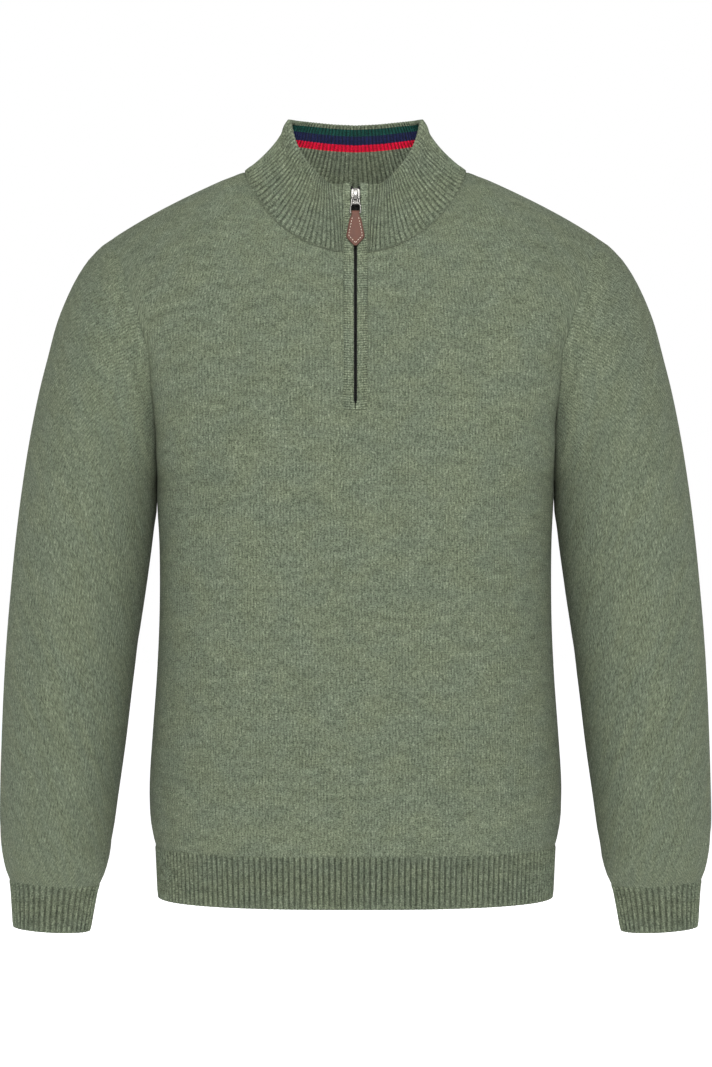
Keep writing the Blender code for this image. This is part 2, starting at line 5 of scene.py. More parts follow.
import bmesh
import bpy
import numpy as np
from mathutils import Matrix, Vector


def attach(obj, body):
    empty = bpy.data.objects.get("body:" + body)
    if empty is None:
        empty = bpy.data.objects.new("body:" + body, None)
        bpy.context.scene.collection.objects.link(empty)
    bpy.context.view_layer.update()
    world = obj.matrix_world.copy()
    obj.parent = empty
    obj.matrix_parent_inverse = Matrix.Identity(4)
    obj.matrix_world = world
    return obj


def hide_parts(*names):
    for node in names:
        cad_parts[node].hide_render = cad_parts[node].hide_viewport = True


bl_info = {
    "name": "Quarter zip sweater",
    "version": (1, 0, 0),
    "blender": (4, 5, 0),
    "location": "View3D > Sidebar > Sweater",
    "description": "Builds a ribbed quarter zip sweater on its hollow worn form",
    "category": "Object",
}

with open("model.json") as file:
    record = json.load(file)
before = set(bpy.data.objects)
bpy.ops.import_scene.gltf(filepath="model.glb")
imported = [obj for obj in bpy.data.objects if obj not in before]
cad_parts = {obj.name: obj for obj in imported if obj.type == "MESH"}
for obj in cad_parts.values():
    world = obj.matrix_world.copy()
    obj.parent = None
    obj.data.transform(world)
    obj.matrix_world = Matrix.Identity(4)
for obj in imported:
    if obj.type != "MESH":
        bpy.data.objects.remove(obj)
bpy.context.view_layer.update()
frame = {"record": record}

# ---------------------------------------------------------------- the garment's cut and sections

NECK_HALF = 0.105
NECK_FRONT = 0.084
NECK_BACK = 0.072
NECK_DROP_FRONT = 0.087
NECK_DROP_BACK = 0.014
NECK_DROP_POWER = 1.32
SHOULDER_HALF = 0.234
SHOULDER_DROP = 0.066
SHOULDER_STRAIGHTNESS = 0.86
SLIT_HALF = 0.0108
SLIT_BOTTOM = -0.2375
SECTION_POWER = 2.4
ARMHOLE_FLARE = 0.22

# Grid: cells across half a panel, how many of them end at the neck, up the yoke, round a sleeve
HALF_CELLS = 48
NECK_CELLS = 20
YOKE_CELLS = 26
SLEEVE_CELLS = 72
CELL_HEIGHT = 0.007

# Panel sections: height, edge half width, front edge depth, back edge depth, front, back, wrap
PANEL_SECTIONS = (
    (-0.6532, 0.1930, 0.0000, 0.0000, 0.1255, 0.1215, 1.00),
    (-0.6460, 0.1950, 0.0000, 0.0000, 0.1275, 0.1240, 1.00),
    (-0.6227, 0.1987, 0.0000, 0.0000, 0.1315, 0.1285, 1.00),
    (-0.5878, 0.1989, 0.0000, 0.0000, 0.1318, 0.1288, 1.00),
    (-0.5413, 0.1959, 0.0000, 0.0000, 0.1295, 0.1255, 1.00),
    (-0.4947, 0.1925, 0.0000, 0.0000, 0.1272, 0.1220, 1.00),
    (-0.4481, 0.1901, 0.0000, 0.0000, 0.1262, 0.1195, 1.00),
    (-0.4050, 0.1893, 0.0000, 0.0000, 0.1262, 0.1195, 1.00),
    (-0.3600, 0.1897, 0.0000, 0.0000, 0.1275, 0.1215, 1.00),
    (-0.3250, 0.1912, 0.0000, 0.0000, 0.1292, 0.1240, 1.00),
    (-0.3050, 0.1915, 0.0000, 0.0000, 0.1300, 0.1255, 1.00),
    (-0.2900, 0.1903, 0.0280, 0.0300, 0.1305, 0.1262, 1.00),
    (-0.2680, 0.1905, 0.0470, 0.0510, 0.1308, 0.1270, 1.00),
    (SLIT_BOTTOM, 0.1918, 0.0630, 0.0690, 0.1300, 0.1275, 0.99),
    (-0.2100, 0.1938, 0.0740, 0.0810, 0.1272, 0.1275, 0.97),
    (-0.1800, 0.1957, 0.0810, 0.0880, 0.1225, 0.1265, 0.94),
)
UNDERARM_ROW = 10
SLIT_ROW = 13

HEM_SECTIONS = (
    (-0.7030, 0.1906, 0.1230, 0.1190),
    (-0.6800, 0.1916, 0.1238, 0.1198),
    (-0.6600, 0.1925, 0.1245, 0.1205),
    (-0.6532, 0.1930, 0.1255, 0.1215),
)

# Sleeve and cuff sections: outer x, outer z, inner x, inner z, middle y, half depth
SLEEVE_SECTIONS = (
    (0.2450, -0.0735, 0.1918, -0.3075, 0.002, 0.0860),
    (0.2585, -0.0873, 0.1920, -0.3105, 0.002, 0.0830),
    (0.2731, -0.1106, 0.1922, -0.3140, 0.001, 0.0800),
    (0.2881, -0.1455, 0.1924, -0.3180, 0.001, 0.0775),
    (0.2980, -0.1820, 0.1926, -0.3225, 0.000, 0.0755),
    (0.3070, -0.2180, 0.1928, -0.3270, 0.000, 0.0740),
    (0.3157, -0.2619, 0.1932, -0.3330, 0.000, 0.0725),
    (0.3230, -0.3085, 0.1955, -0.3480, 0.000, 0.0710),
    (0.3290, -0.3570, 0.1985, -0.3740, -0.001, 0.0695),
    (0.3335, -0.4050, 0.2038, -0.4120, -0.003, 0.0680),
    (0.3370, -0.4500, 0.2098, -0.4530, -0.006, 0.0665),
    (0.3397, -0.5000, 0.2160, -0.5030, -0.010, 0.0650),
    (0.3412, -0.5500, 0.2217, -0.5540, -0.015, 0.0630),
    (0.3420, -0.6000, 0.2284, -0.6040, -0.021, 0.0600),
    (0.3418, -0.6330, 0.2328, -0.6380, -0.025, 0.0565),
    (0.3392, -0.6580, 0.2366, -0.6630, -0.028, 0.0510),
    (0.3354, -0.6750, 0.2414, -0.6800, -0.030, 0.0440),
    (0.3318, -0.6840, 0.2456, -0.6890, -0.031, 0.0385),
)
CUFF_SECTIONS = (
    (0.3318, -0.6840, 0.2456, -0.6890, -0.031, 0.0385),
    (0.3304, -0.6910, 0.2482, -0.6960, -0.0315, 0.0365),
    (0.3290, -0.7100, 0.2518, -0.7150, -0.032, 0.0350),
    (0.3278, -0.7290, 0.2550, -0.7335, -0.033, 0.0345),
)

# Collar's top edge from the zip round to the middle of the back: x, y, z, hollow of its side
COLLAR_SECTIONS = (
    (SLIT_HALF, -0.0765, -0.0215, 0.0000),
    (0.0245, -0.0745, -0.0207, 0.0010),
    (0.0385, -0.0680, -0.0080, 0.0020),
    (0.0510, -0.0545, 0.0085, 0.0035),
    (0.0592, -0.0330, 0.0265, 0.0050),
    (0.0642, -0.0040, 0.0468, 0.0060),
    (0.0644, 0.0200, 0.0520, 0.0060),
    (0.0575, 0.0420, 0.0538, 0.0050),
    (0.0425, 0.0570, 0.0540, 0.0040),
    (0.0222, 0.0650, 0.0530, 0.0035),
    (0.0000, 0.0670, 0.0522, 0.0035),
)

# Soft folds and swells of the worn cloth: piece, x, y sign, z, lean in degrees, half length,
# half width, height (below zero for a trough)
FOLDS = (
    ("body", 0.150, -1, -0.275, 38, 0.060, 0.011, -0.0020),
    ("body", -0.156, -1, -0.290, -44, 0.048, 0.010, -0.0017),
    ("body", 0.165, -1, -0.335, 56, 0.040, 0.012, 0.0012),
    ("body", -0.170, -1, -0.352, -60, 0.046, 0.013, 0.0011),
    ("body", 0.120, -1, -0.628, 12, 0.070, 0.010, -0.0010),
    ("body", -0.085, -1, -0.634, -8, 0.085, 0.009, -0.0011),
    ("body", 0.020, -1, -0.612, 4, 0.120, 0.014, 0.0009),
    ("body", 0.060, -1, -0.118, 62, 0.050, 0.014, 0.0009),
    ("body", -0.068, -1, -0.124, -58, 0.046, 0.013, 0.0010),
    ("body", 0.150, 1, -0.270, 40, 0.064, 0.012, -0.0033),
    ("body", -0.144, 1, -0.282, -36, 0.052, 0.011, -0.0029),
    ("body", 0.111, -1, -0.003, 0, 0.015, 0.012, -0.0022),
    ("body", 0.111, 1, -0.003, 0, 0.015, 0.012, -0.0022),
    ("body", -0.111, -1, -0.003, 0, 0.015, 0.012, -0.0022),
    ("body", -0.111, 1, -0.003, 0, 0.015, 0.012, -0.0022),
    ("body", 0.060, 1, -0.330, 6, 0.090, 0.016, 0.0019),
    ("body", -0.075, 1, -0.420, -10, 0.080, 0.015, -0.0016),
    ("body", 0.100, 1, -0.620, 10, 0.080, 0.011, -0.0019),
    ("body", -0.110, 1, -0.628, -12, 0.070, 0.010, -0.0018),
    ("left", 0.232, -1, -0.250, 64, 0.052, 0.011, -0.0018),
    ("left", 0.245, -1, -0.455, 24, 0.040, 0.010, -0.0012),
    ("left", 0.262, -1, -0.648, 8, 0.036, 0.008, -0.0014),
    ("left", 0.312, -1, -0.636, -14, 0.028, 0.007, -0.0012),
    ("left", 0.250, 1, -0.330, 50, 0.050, 0.012, -0.0027),
    ("left", 0.280, 1, -0.470, 18, 0.052, 0.012, 0.0021),
    ("left", 0.285, 1, -0.640, 6, 0.044, 0.009, -0.0021),
    ("right", -0.236, -1, -0.262, -60, 0.046, 0.010, -0.0016),
    ("right", -0.252, -1, -0.438, -30, 0.044, 0.011, -0.0013),
    ("right", -0.268, -1, -0.642, -6, 0.040, 0.008, -0.0014),
    ("right", -0.318, -1, -0.630, 16, 0.026, 0.007, -0.0011),
    ("right", -0.246, 1, -0.320, -54, 0.046, 0.011, -0.0025),
    ("right", -0.284, 1, -0.486, -14, 0.050, 0.012, 0.0019),
    ("right", -0.280, 1, -0.645, -8, 0.046, 0.009, -0.0019),
)

# Collar's foot, a row for each of its sections: angle round the neck seam, and ribs so far
COLLAR_FOOT = ((0.103, 0.0), (0.200, 4.0), (0.640, 12.5), (1.040, 19.5), (1.330, 24.5), (1.530, 29.5),
               (1.760, 35.0), (2.100, 41.0), (2.460, 47.0), (2.810, 53.5), (math.pi, 60.0))

# Stripes knitted into the inside of the collar: their edges down the cloth from the fold, colour
STRIPES = (
    (0.0052, 0.0120, (0.006, 0.046, 0.036)),
    (0.0120, 0.0210, (0.009, 0.012, 0.046)),
    (0.0210, 0.0280, (0.50, 0.003, 0.027)),
)

# Zip: heights where the bindings leave the slider, close up, and draw together at the bottom
BINDING_OPEN_BY, BINDING_SHUT_BY = -0.0445, -0.0520
BINDING_MEETS_BY, BINDING_MET_BY = -0.2290, -0.2330
BINDING_AT_SLIDER, BINDING_AT_CHAIN, BINDING_AT_END = 0.0045, 0.0016, 0.0002
BINDING_TOP = -0.0208
BINDING_RIDGE_PITCH = 0.0023
BINDING_RIDGE_HEIGHT = 0.0007
TAPE_TOP = -0.0235
CHAIN_TOP, CHAIN_BOTTOM = -0.0312, -0.2325
LINKING_PITCH = 0.0030
WIRE_RADIUS = 0.00072
CROSSBAR_RADIUS = 0.00095

# Half of the leather tab, from its hinge down: half width, distance down
TAB_OUTLINE = (
    (0.0039, 0.0000),
    (0.0039, 0.0026),
    (0.0048, 0.0044),
    (0.0057, 0.0066),
    (0.0072, 0.0140),
    (0.0084, 0.0200),
    (0.0087, 0.0222),
    (0.0083, 0.0240),
    (0.0060, 0.0268),
    (0.0024, 0.0306),
    (0.0011, 0.0315),
    (0.0000, 0.0317),
)


def colour_property(name, description, value):
    return bpy.props.FloatVectorProperty(name=name, description=description, default=value,
                                         subtype="COLOR", size=3, min=0.0, max=1.0)


def length_property(name, description, value):
    return bpy.props.FloatProperty(name=name, description=description, default=value,
                                   unit="LENGTH", subtype="DISTANCE", precision=5)


class SweaterSizes(bpy.types.PropertyGroup):
    """Sizes of the cloth, ribs and zip."""
    jersey_wall: length_property("Jersey", "Thickness of the jersey", 0.0025)
    rib_wall: length_property("Rib", "Thickness of the cuff and hem ribs", 0.0030)
    collar_wall: length_property("Collar", "Thickness of the folded collar", 0.0042)
    rib_height: length_property("Rib height", "Height of the cuff and hem ribs", 0.0020)
    rib_pitch: length_property("Rib pitch", "Distance between cuff and hem ribs", 0.0054)
    collar_rib_height: length_property("Collar rib height", "Height of the collar's ribs", 0.0015)
    seam_depth: length_property("Seam depth", "How far a seam sinks into the cloth", 0.0014)
    tooth_pitch: length_property("Tooth pitch", "Distance between zip teeth", 0.0013)


class SweaterColours(bpy.types.PropertyGroup):
    """Colours of the wool, leather and zip."""
    sage: colour_property("Sage", "Main colour of the wool", (0.125, 0.146, 0.095))
    sage_cool: colour_property("Cool sage", "Greyer clouds in the wool", (0.117, 0.140, 0.097))
    sage_light: colour_property("Light flecks", "Pale fibres in the wool", (0.245, 0.275, 0.195))
    sage_dark: colour_property("Dark flecks", "Dark fibres in the wool", (0.050, 0.066, 0.042))
    leather: colour_property("Leather", "Colour of the leather tab", (0.092, 0.037, 0.024))
    thread: colour_property("Thread", "Saddle stitching on the tab", (0.72, 0.66, 0.55))
    nickel: colour_property("Nickel", "Slider and puller frame", (0.165, 0.160, 0.149))
    zip_black: colour_property("Zip", "Zip tape and teeth", (0.006, 0.006, 0.005))


def sizes():
    return bpy.context.scene.sweater_sizes


def colours():
    return bpy.context.scene.sweater_colours


# ---------------------------------------------------------------- curves through the sections

def through(table, place):
    """Smooth values of all columns at a place along the rows (0 is the first row)."""
    last = len(table) - 1
    place = min(max(place, 0.0), float(last))
    row = min(int(place), last - 1)
    f = place - row
    rows = [table[min(max(row + step, 0), last)] for step in (-1, 0, 1, 2)]
    result = []
    for before, start, end, after in zip(*rows):
        result.append(0.5 * (2 * start + (end - before) * f
                             + (2 * before - 5 * start + 4 * end - after) * f * f
                             + (3 * start - before - 3 * end + after) * f * f * f))
    return result


def places_along(table, first, last, cell, columns):
    """Places from one row to another, spaced about a cell apart and hitting every row."""
    found = [float(first)]
    for row in range(first, last):
        gap = math.dist([table[row][c] for c in columns], [table[row + 1][c] for c in columns])
        steps = max(1, round(gap / cell))
        found += [row + step / steps for step in range(1, steps + 1)]
    return found


def across(cell, cells=HALF_CELLS):
    """Share of the half width at a cell, closer together where the section turns in at its edge."""
    return math.sin(math.pi / 2 * cell / cells) ** (2 / SECTION_POWER)


def section_curve(fraction, wrap):
    """Depth across a section, 1 in the middle and 0 at its edge; wrap below 1 cuts it off flatter."""
    def rise(value):
        return max(1 - min(value, 1.0) ** SECTION_POWER, 0.0) ** (1 / SECTION_POWER)
    wrap = min(wrap, 1.0)
    return (rise(wrap * fraction) - rise(wrap)) / (1 - rise(wrap))


def section_row(height, half_width, edge_depth, depth, wrap, facing, cells=HALF_CELLS):
    row = []
    for cell in range(cells + 1):
        fraction = across(cell, cells)
        x = SLIT_HALF + (half_width - SLIT_HALF) * fraction
        y = edge_depth + (depth - edge_depth) * section_curve(fraction, wrap)
        row.append(Vector((x, facing * y, height)))
    return row


def neck_point(angle, facing):
    """On the neck oval, angle 0 in the middle of the front (facing -1) or the back (facing 1)."""
    level = max(math.cos(angle), 0.0)
    if facing < 0:
        return Vector((NECK_HALF * math.sin(angle), -NECK_FRONT * level,
                       -NECK_DROP_FRONT * level ** NECK_DROP_POWER))
    return Vector((NECK_HALF * math.sin(angle), NECK_BACK * level, -NECK_DROP_BACK * level ** 2))


def neck_angle(fraction):
    """Angle on the neck oval, from the slit (0) to the shoulder seam (1)."""
    start = math.asin(SLIT_HALF / NECK_HALF)
    return start + (math.pi / 2 - start) * fraction


def shoulder_point(fraction):
    fall = SHOULDER_STRAIGHTNESS * fraction + (1 - SHOULDER_STRAIGHTNESS) * fraction ** 3
    return Vector((NECK_HALF + (SHOULDER_HALF - NECK_HALF) * fraction, 0.0, -SHOULDER_DROP * fall))


def top_point(cell, facing):
    """Where a column of the yoke ends, on the neck or the shoulder seam, and how it arrives."""
    if cell <= NECK_CELLS:
        angle = neck_angle(cell / NECK_CELLS)
        turn, rise = math.sin(angle), math.cos(angle)
        return neck_point(angle, facing), Vector((-0.5 * turn, -facing * (0.4 + 0.4 * turn),
                                                  0.1 * turn + 0.92 * rise))
    fraction = (cell - NECK_CELLS) / (HALF_CELLS - NECK_CELLS)
    fade = max(1 - 3 * fraction, 0.0) ** 2
    return shoulder_point(fraction), Vector((-0.5 * fade, -facing * (1 - 0.2 * fade), 0.1 * fade))


def hermite(start, end, leave, arrive, fraction):
    span = (end - start).length
    leave = leave.normalized() * span
    arrive = arrive.normalized() * span
    f2 = fraction * fraction
    f3 = f2 * fraction
    return (start * (2 * f3 - 3 * f2 + 1) + leave * (f3 - 2 * f2 + fraction)
            + end * (3 * f2 - 2 * f3) + arrive * (f3 - f2))


def panel_row(place, facing):
    height, half_width, front_edge, back_edge, front, back, wrap = through(PANEL_SECTIONS, place)
    edge, depth = (front_edge, front) if facing < 0 else (back_edge, back)
    if place <= UNDERARM_ROW:
        edge, wrap = 0.0, 1.0
    return section_row(height, half_width, max(edge, 0.0), depth, wrap, facing)


def half_panel(facing):
    """Rows of the left half of the front (facing -1) or back: its sections, then the yoke."""
    last = len(PANEL_SECTIONS) - 1
    rows = [panel_row(place, facing)
            for place in places_along(PANEL_SECTIONS, 0, last, CELL_HEIGHT, (0, 2))]
    chest = rows[-1]
    below = [Vector(point) for point in panel_row(last - 1, facing)]
    for step in range(1, YOKE_CELLS + 1):
        row = []
        for cell in range(HALF_CELLS + 1):
            top, arrive = top_point(cell, facing)
            leave = (chest[cell] - below[cell]).normalized()
            leave += Vector((ARMHOLE_FLARE * across(cell), 0.0, 0.0))
            row.append(hermite(chest[cell], top, leave, arrive, step / YOKE_CELLS))
        rows.append(row)
    return rows


def mirrored(row):
    return [Vector((-point.x, point.y, point.z)) for point in reversed(row)] + list(row)


def other_side(rows):
    return [[Vector((-point.x, point.y, point.z)) for point in row] for row in rows]


def evenly(points, count, closed=False):
    """The same line with count equal steps."""
    line = np.array([tuple(point) for point in points + ([points[0]] if closed else [])])
    reach = np.concatenate(([0.0], np.cumsum(np.linalg.norm(np.diff(line, axis=0), axis=1))))
    wanted = np.linspace(0.0, reach[-1], count + 1)
    even = [Vector((np.interp(w, reach, line[:, 0]), np.interp(w, reach, line[:, 1]),
                    np.interp(w, reach, line[:, 2]))) for w in wanted]
    return even[:-1] if closed else even


def armhole_loop():
    """Edge of the left armhole from the shoulder down the front to the underarm and up the back."""
    front_rows, back_rows = half_panel(-1), half_panel(1)
    low = len(places_along(PANEL_SECTIONS, 0, UNDERARM_ROW, CELL_HEIGHT, (0, 2))) - 1
    front = [row[-1] for row in front_rows[low:]]
    back = [row[-1] for row in back_rows[low:]]
    half = SLEEVE_CELLS // 2
    return evenly(front[::-1], half) + evenly(back, half)[1:-1]


def ring_angles(loop, share):
    """Angles of the armhole's points round its middle, moved by a share towards even ones."""
    count = len(loop)
    top, bottom = loop[0], loop[count // 2]
    middle = (top + bottom) / 2
    up = (top - bottom).normalized()
    reach = (top - bottom).length / 2
    depth = max(abs(point.y) for point in loop)
    angles = []
    for number, point in enumerate(loop):
        even = 2 * math.pi * number / count
        own = math.atan2(-point.y / depth, (point - middle).dot(up) / reach) % (2 * math.pi)
        angles.append(own + (even - own) * share)
    return angles


def sleeve_ring(section, angles):
    outer_x, outer_z, inner_x, inner_z, middle_y, half_depth = section
    outer = Vector((outer_x, middle_y, outer_z))
    inner = Vector((inner_x, middle_y, inner_z))
    middle = (outer + inner) / 2
    half = (outer - inner) / 2
    return [middle + half * math.cos(angle) + Vector((0.0, -half_depth * math.sin(angle), 0.0))
            for angle in angles]


def sleeve_rows():
    """Rings down the left sleeve; their points settle from the armhole's spacing to even angles."""
    loop = armhole_loop()
    rows = [loop]
    settling = 6
    first = sleeve_ring(SLEEVE_SECTIONS[0], ring_angles(loop, 1 / settling))
    for step in (0.35, 0.7):
        rows.append([start.lerp(end, step) for start, end in zip(loop, first)])
    last = len(SLEEVE_SECTIONS) - 1
    for place in places_along(SLEEVE_SECTIONS, 0, last, CELL_HEIGHT * 1.2, (0, 1)):
        angles = ring_angles(loop, min((place + 1) / settling, 1.0))
        rows.append(sleeve_ring(through(SLEEVE_SECTIONS, place), angles))
    return rows


# ---------------------------------------------------------------- meshes of cloth

def link(made):
    bpy.context.scene.collection.objects.link(made)
    return made


def lengths(rows, closed):
    """Distances over the cloth at each point: round from the middle column, and up the rows."""
    places = np.array([[tuple(point) for point in row] for row in rows])
    if closed:
        places = np.concatenate((places, places[:, :1]), axis=1)
    sideways = np.linalg.norm(np.diff(places, axis=1), axis=2)
    around = np.concatenate((np.zeros((len(rows), 1)), np.cumsum(sideways, axis=1)), axis=1)
    around -= around[:, -1:] / 2
    upwards = np.linalg.norm(np.diff(places, axis=0), axis=2)
    up = np.concatenate((np.zeros((1, places.shape[1])), np.cumsum(upwards, axis=0)), axis=0)
    return around, up


def fold_shift(piece, place):
    """How far the folds of a piece move a point out from the cloth, or in."""
    total = 0.0
    for owner, x, side, z, lean, half_length, half_width, height in FOLDS:
        if owner != piece or side * place.y < 0:
            continue
        turn = math.radians(lean)
        dx, dz = place.x - x, place.z - z
        along = (dx * math.cos(turn) + dz * math.sin(turn)) / half_length
        off = (-dx * math.sin(turn) + dz * math.cos(turn)) / half_width
        if abs(along) < 2.6 and abs(off) < 2.6:
            total += height * math.exp(-along * along - off * off)
    return total


def seam_share(place):
    """Seams sink round the neck and armholes, hardly at the slit and shoulder tips, not at the ribs."""
    if place.z < -0.60:
        return 0.0
    if abs(place.x) < SLIT_HALF + 0.002:
        return 0.2
    if abs(place.x) < NECK_HALF + 0.001 and place.z > -NECK_DROP_FRONT - 0.002:
        return 0.45
    return 0.1 if place.z > -0.10 else 0.5


def cloth(name, rows, closed, outward_first, skipped=(), fold_piece=None, seam=True):
    """An open sheet of quads with its flat lengths as the UV map, its folds, and sunken seams."""
    around, up = lengths(rows, closed)
    count = len(rows[0])
    mesh = bmesh.new()
    verts = [[mesh.verts.new(point) for point in row] for row in rows]
    uv = mesh.loops.layers.uv.new("cloth")
    for row in range(len(rows) - 1):
        for column in range(count if closed else count - 1):
            if (row, column) in skipped:
                continue
            right = (column + 1) % count
            corners = [(row, column, column), (row, right, column + 1),
                       (row + 1, right, column + 1), (row + 1, column, column)]
            if not outward_first:
                corners.reverse()
            face = mesh.faces.new([verts[r][c] for r, c, _ in corners])
            face.smooth = True
            for loop, (r, _, wide) in zip(face.loops, corners):
                loop[uv].uv = (around[r][wide], up[r][wide])
    loose = [vert for vert in mesh.verts if not vert.link_faces]
    bmesh.ops.delete(mesh, geom=loose, context="VERTS")
    mesh.normal_update()
    moves = []
    for vert in mesh.verts:
        shift = fold_shift(fold_piece, vert.co) if fold_piece else 0.0
        if seam and vert.is_boundary:
            shift -= sizes().seam_depth * seam_share(vert.co)
        moves.append((vert, vert.normal * shift))
    for vert, move in moves:
        vert.co += move
    data = bpy.data.meshes.new(name)
    mesh.to_mesh(data)
    mesh.free()
    return link(bpy.data.objects.new(name, data))


def baked(made):
    """The object with its modifiers turned into plain mesh."""
    graph = bpy.context.evaluated_depsgraph_get()
    graph.update()
    data = bpy.data.meshes.new_from_object(made.evaluated_get(graph))
    name = made.name
    if made.type != "MESH":
        bpy.data.objects.remove(made, do_unlink=True)
        made = link(bpy.data.objects.new(name, data))
    else:
        made.modifiers.clear()
        made.data = data
    data.name = name
    return made


def with_wall(made, wall):
    """Thickness on the inner side; the cut rim stays crisp."""
    step = made.modifiers.new("wall", "SOLIDIFY")
    step.thickness = wall
    step.offset = -1.0
    made = baked(made)
    made.data.set_sharp_from_angle(angle=math.radians(60))
    return made


# ---------------------------------------------------------------- geometry node trees

def new_tree(name, sockets):
    tree = bpy.data.node_groups.new(name, "GeometryNodeTree")
    tree.interface.new_socket("Geometry", in_out="OUTPUT", socket_type="NodeSocketGeometry")
    tree.interface.new_socket("Geometry", in_out="INPUT", socket_type="NodeSocketGeometry")
    for label, kind in sockets:
        tree.interface.new_socket(label, in_out="INPUT", socket_type=kind)
    return tree, tree.nodes.new("NodeGroupInput"), tree.nodes.new("NodeGroupOutput")


def node(tree, kind, **settings):
    made = tree.nodes.new(kind)
    for key, value in settings.items():
        setattr(made, key, value)
    return made


def math_node(tree, operation, first, second=None):
    made = node(tree, "ShaderNodeMath", operation=operation)
    for number, value in enumerate((first, second)):
        if value is None:
            continue
        if isinstance(value, (int, float)):
            made.inputs[number].default_value = value
        else:
            tree.links.new(value, made.inputs[number])
    return made.outputs[0]


def finish_tree(tree, geometry, group_in, group_out):
    smooth = node(tree, "GeometryNodeSetShadeSmooth")
    real = node(tree, "GeometryNodeRealizeInstances")
    paint = node(tree, "GeometryNodeSetMaterial")
    tree.links.new(geometry, real.inputs["Geometry"])
    tree.links.new(real.outputs["Geometry"], smooth.inputs["Geometry"])
    tree.links.new(smooth.outputs["Geometry"], paint.inputs["Geometry"])
    tree.links.new(group_in.outputs["Material"], paint.inputs["Material"])
    tree.links.new(paint.outputs["Geometry"], group_out.inputs["Geometry"])
    return tree


def rib_tree():
    """Raises ribs on a sheet along its normals, by the rib_turn attribute (one turn for each rib)."""
    if "Raised ribs" in bpy.data.node_groups:
        return bpy.data.node_groups["Raised ribs"]
    tree, group_in, group_out = new_tree("Raised ribs", (
        ("Height", "NodeSocketFloat"), ("Roundness", "NodeSocketFloat"),
        ("Material", "NodeSocketMaterial")))
    turn = node(tree, "GeometryNodeInputNamedAttribute", data_type="FLOAT")
    turn.inputs["Name"].default_value = "rib_turn"
    fade = node(tree, "GeometryNodeInputNamedAttribute", data_type="FLOAT")
    fade.inputs["Name"].default_value = "rib_fade"
    wave = math_node(tree, "COSINE", math_node(tree, "MULTIPLY", turn.outputs[0], 2 * math.pi))
    level = math_node(tree, "ADD", math_node(tree, "MULTIPLY", wave, 0.5), 0.5)
    level = math_node(tree, "POWER", level, group_in.outputs["Roundness"])
    level = math_node(tree, "SUBTRACT", level, 0.5)
    level = math_node(tree, "MULTIPLY", level, group_in.outputs["Height"])
    level = math_node(tree, "MULTIPLY", level, fade.outputs[0])
    away = node(tree, "ShaderNodeVectorMath", operation="SCALE")
    normal = node(tree, "GeometryNodeInputNormal")
    tree.links.new(normal.outputs[0], away.inputs[0])
    tree.links.new(level, away.inputs["Scale"])
    move = node(tree, "GeometryNodeSetPosition")
    tree.links.new(group_in.outputs["Geometry"], move.inputs["Geometry"])
    tree.links.new(away.outputs[0], move.inputs["Offset"])
    return finish_tree(tree, move.outputs["Geometry"], group_in, group_out)


def stitch_tree():
    """Rounded stitches along a line: each lies along it, or level where Level is on."""
    if "Stitch run" in bpy.data.node_groups:
        return bpy.data.node_groups["Stitch run"]
    tree, group_in, group_out = new_tree("Stitch run", (
        ("Pitch", "NodeSocketFloat"), ("Size", "NodeSocketVector"), ("Level", "NodeSocketBool"),
        ("Material", "NodeSocketMaterial")))
    points = node(tree, "GeometryNodeCurveToPoints", mode="LENGTH")
    tree.links.new(group_in.outputs["Geometry"], points.inputs["Curve"])
    tree.links.new(group_in.outputs["Pitch"], points.inputs["Length"])
    bead = node(tree, "GeometryNodeMeshUVSphere")
    bead.inputs["Segments"].default_value = 8
    bead.inputs["Rings"].default_value = 6
    bead.inputs["Radius"].default_value = 0.5
    shape = node(tree, "GeometryNodeTransform")
    tree.links.new(bead.outputs["Mesh"], shape.inputs["Geometry"])
    tree.links.new(group_in.outputs["Size"], shape.inputs["Scale"])
    turn = node(tree, "GeometryNodeSwitch", input_type="ROTATION")
    tree.links.new(group_in.outputs["Level"], turn.inputs["Switch"])
    tree.links.new(points.outputs["Rotation"], turn.inputs["False"])
    place = node(tree, "GeometryNodeInstanceOnPoints")
    tree.links.new(points.outputs["Points"], place.inputs["Points"])
    tree.links.new(shape.outputs["Geometry"], place.inputs["Instance"])
    tree.links.new(turn.outputs["Output"], place.inputs["Rotation"])
    return finish_tree(tree, place.outputs["Instances"], group_in, group_out)


def add_tree(made, tree, **values):
    step = made.modifiers.new(tree.name, "NODES")
    step.node_group = tree
    sockets = {item.name: item.identifier for item in tree.interface.items_tree
               if item.item_type == "SOCKET" and item.in_out == "INPUT"}
    for label, value in values.items():
        step[sockets[label]] = value
    return baked(made)


def line_object(name, runs, closed=False, radius=0.0):
    """Straight pieced lines through lists of points, or round rods where there is a radius."""
    data = bpy.data.curves.new(name, "CURVE")
    data.dimensions = "3D"
    if radius:
        data.bevel_depth = radius
        data.bevel_resolution = 5
        data.use_fill_caps = True
    for run in runs:
        spline = data.splines.new("POLY")
        spline.points.add(len(run) - 1)
        for item, place in zip(spline.points, run):
            item.co = (*place, 1.0)
        spline.use_cyclic_u = closed
    return link(bpy.data.objects.new(name, data))


def stitches(name, runs, pitch, size, finish, closed=False, level=False):
    """Stitches or teeth a pitch apart along each run; size is across, through and along."""
    made = line_object(name, runs, closed)
    return add_tree(made, stitch_tree(), Pitch=pitch, Size=size, Level=level, Material=finish)


def ribbed(made, turns, fades, height, finish, roundness=0.8):
    """Ribs raised on a piece: a turn and a share of the full height for each of its points; the share also
    scales the painted shade the wool puts in the grooves.
    """
    for name, values in (("rib_turn", turns), ("rib_fade", fades)):
        layer = made.data.attributes.new(name, "FLOAT", "POINT")
        layer.data.foreach_set("value", np.array(values, dtype=np.float32))
    return add_tree(made, rib_tree(), Height=height, Roundness=roundness, Material=finish)


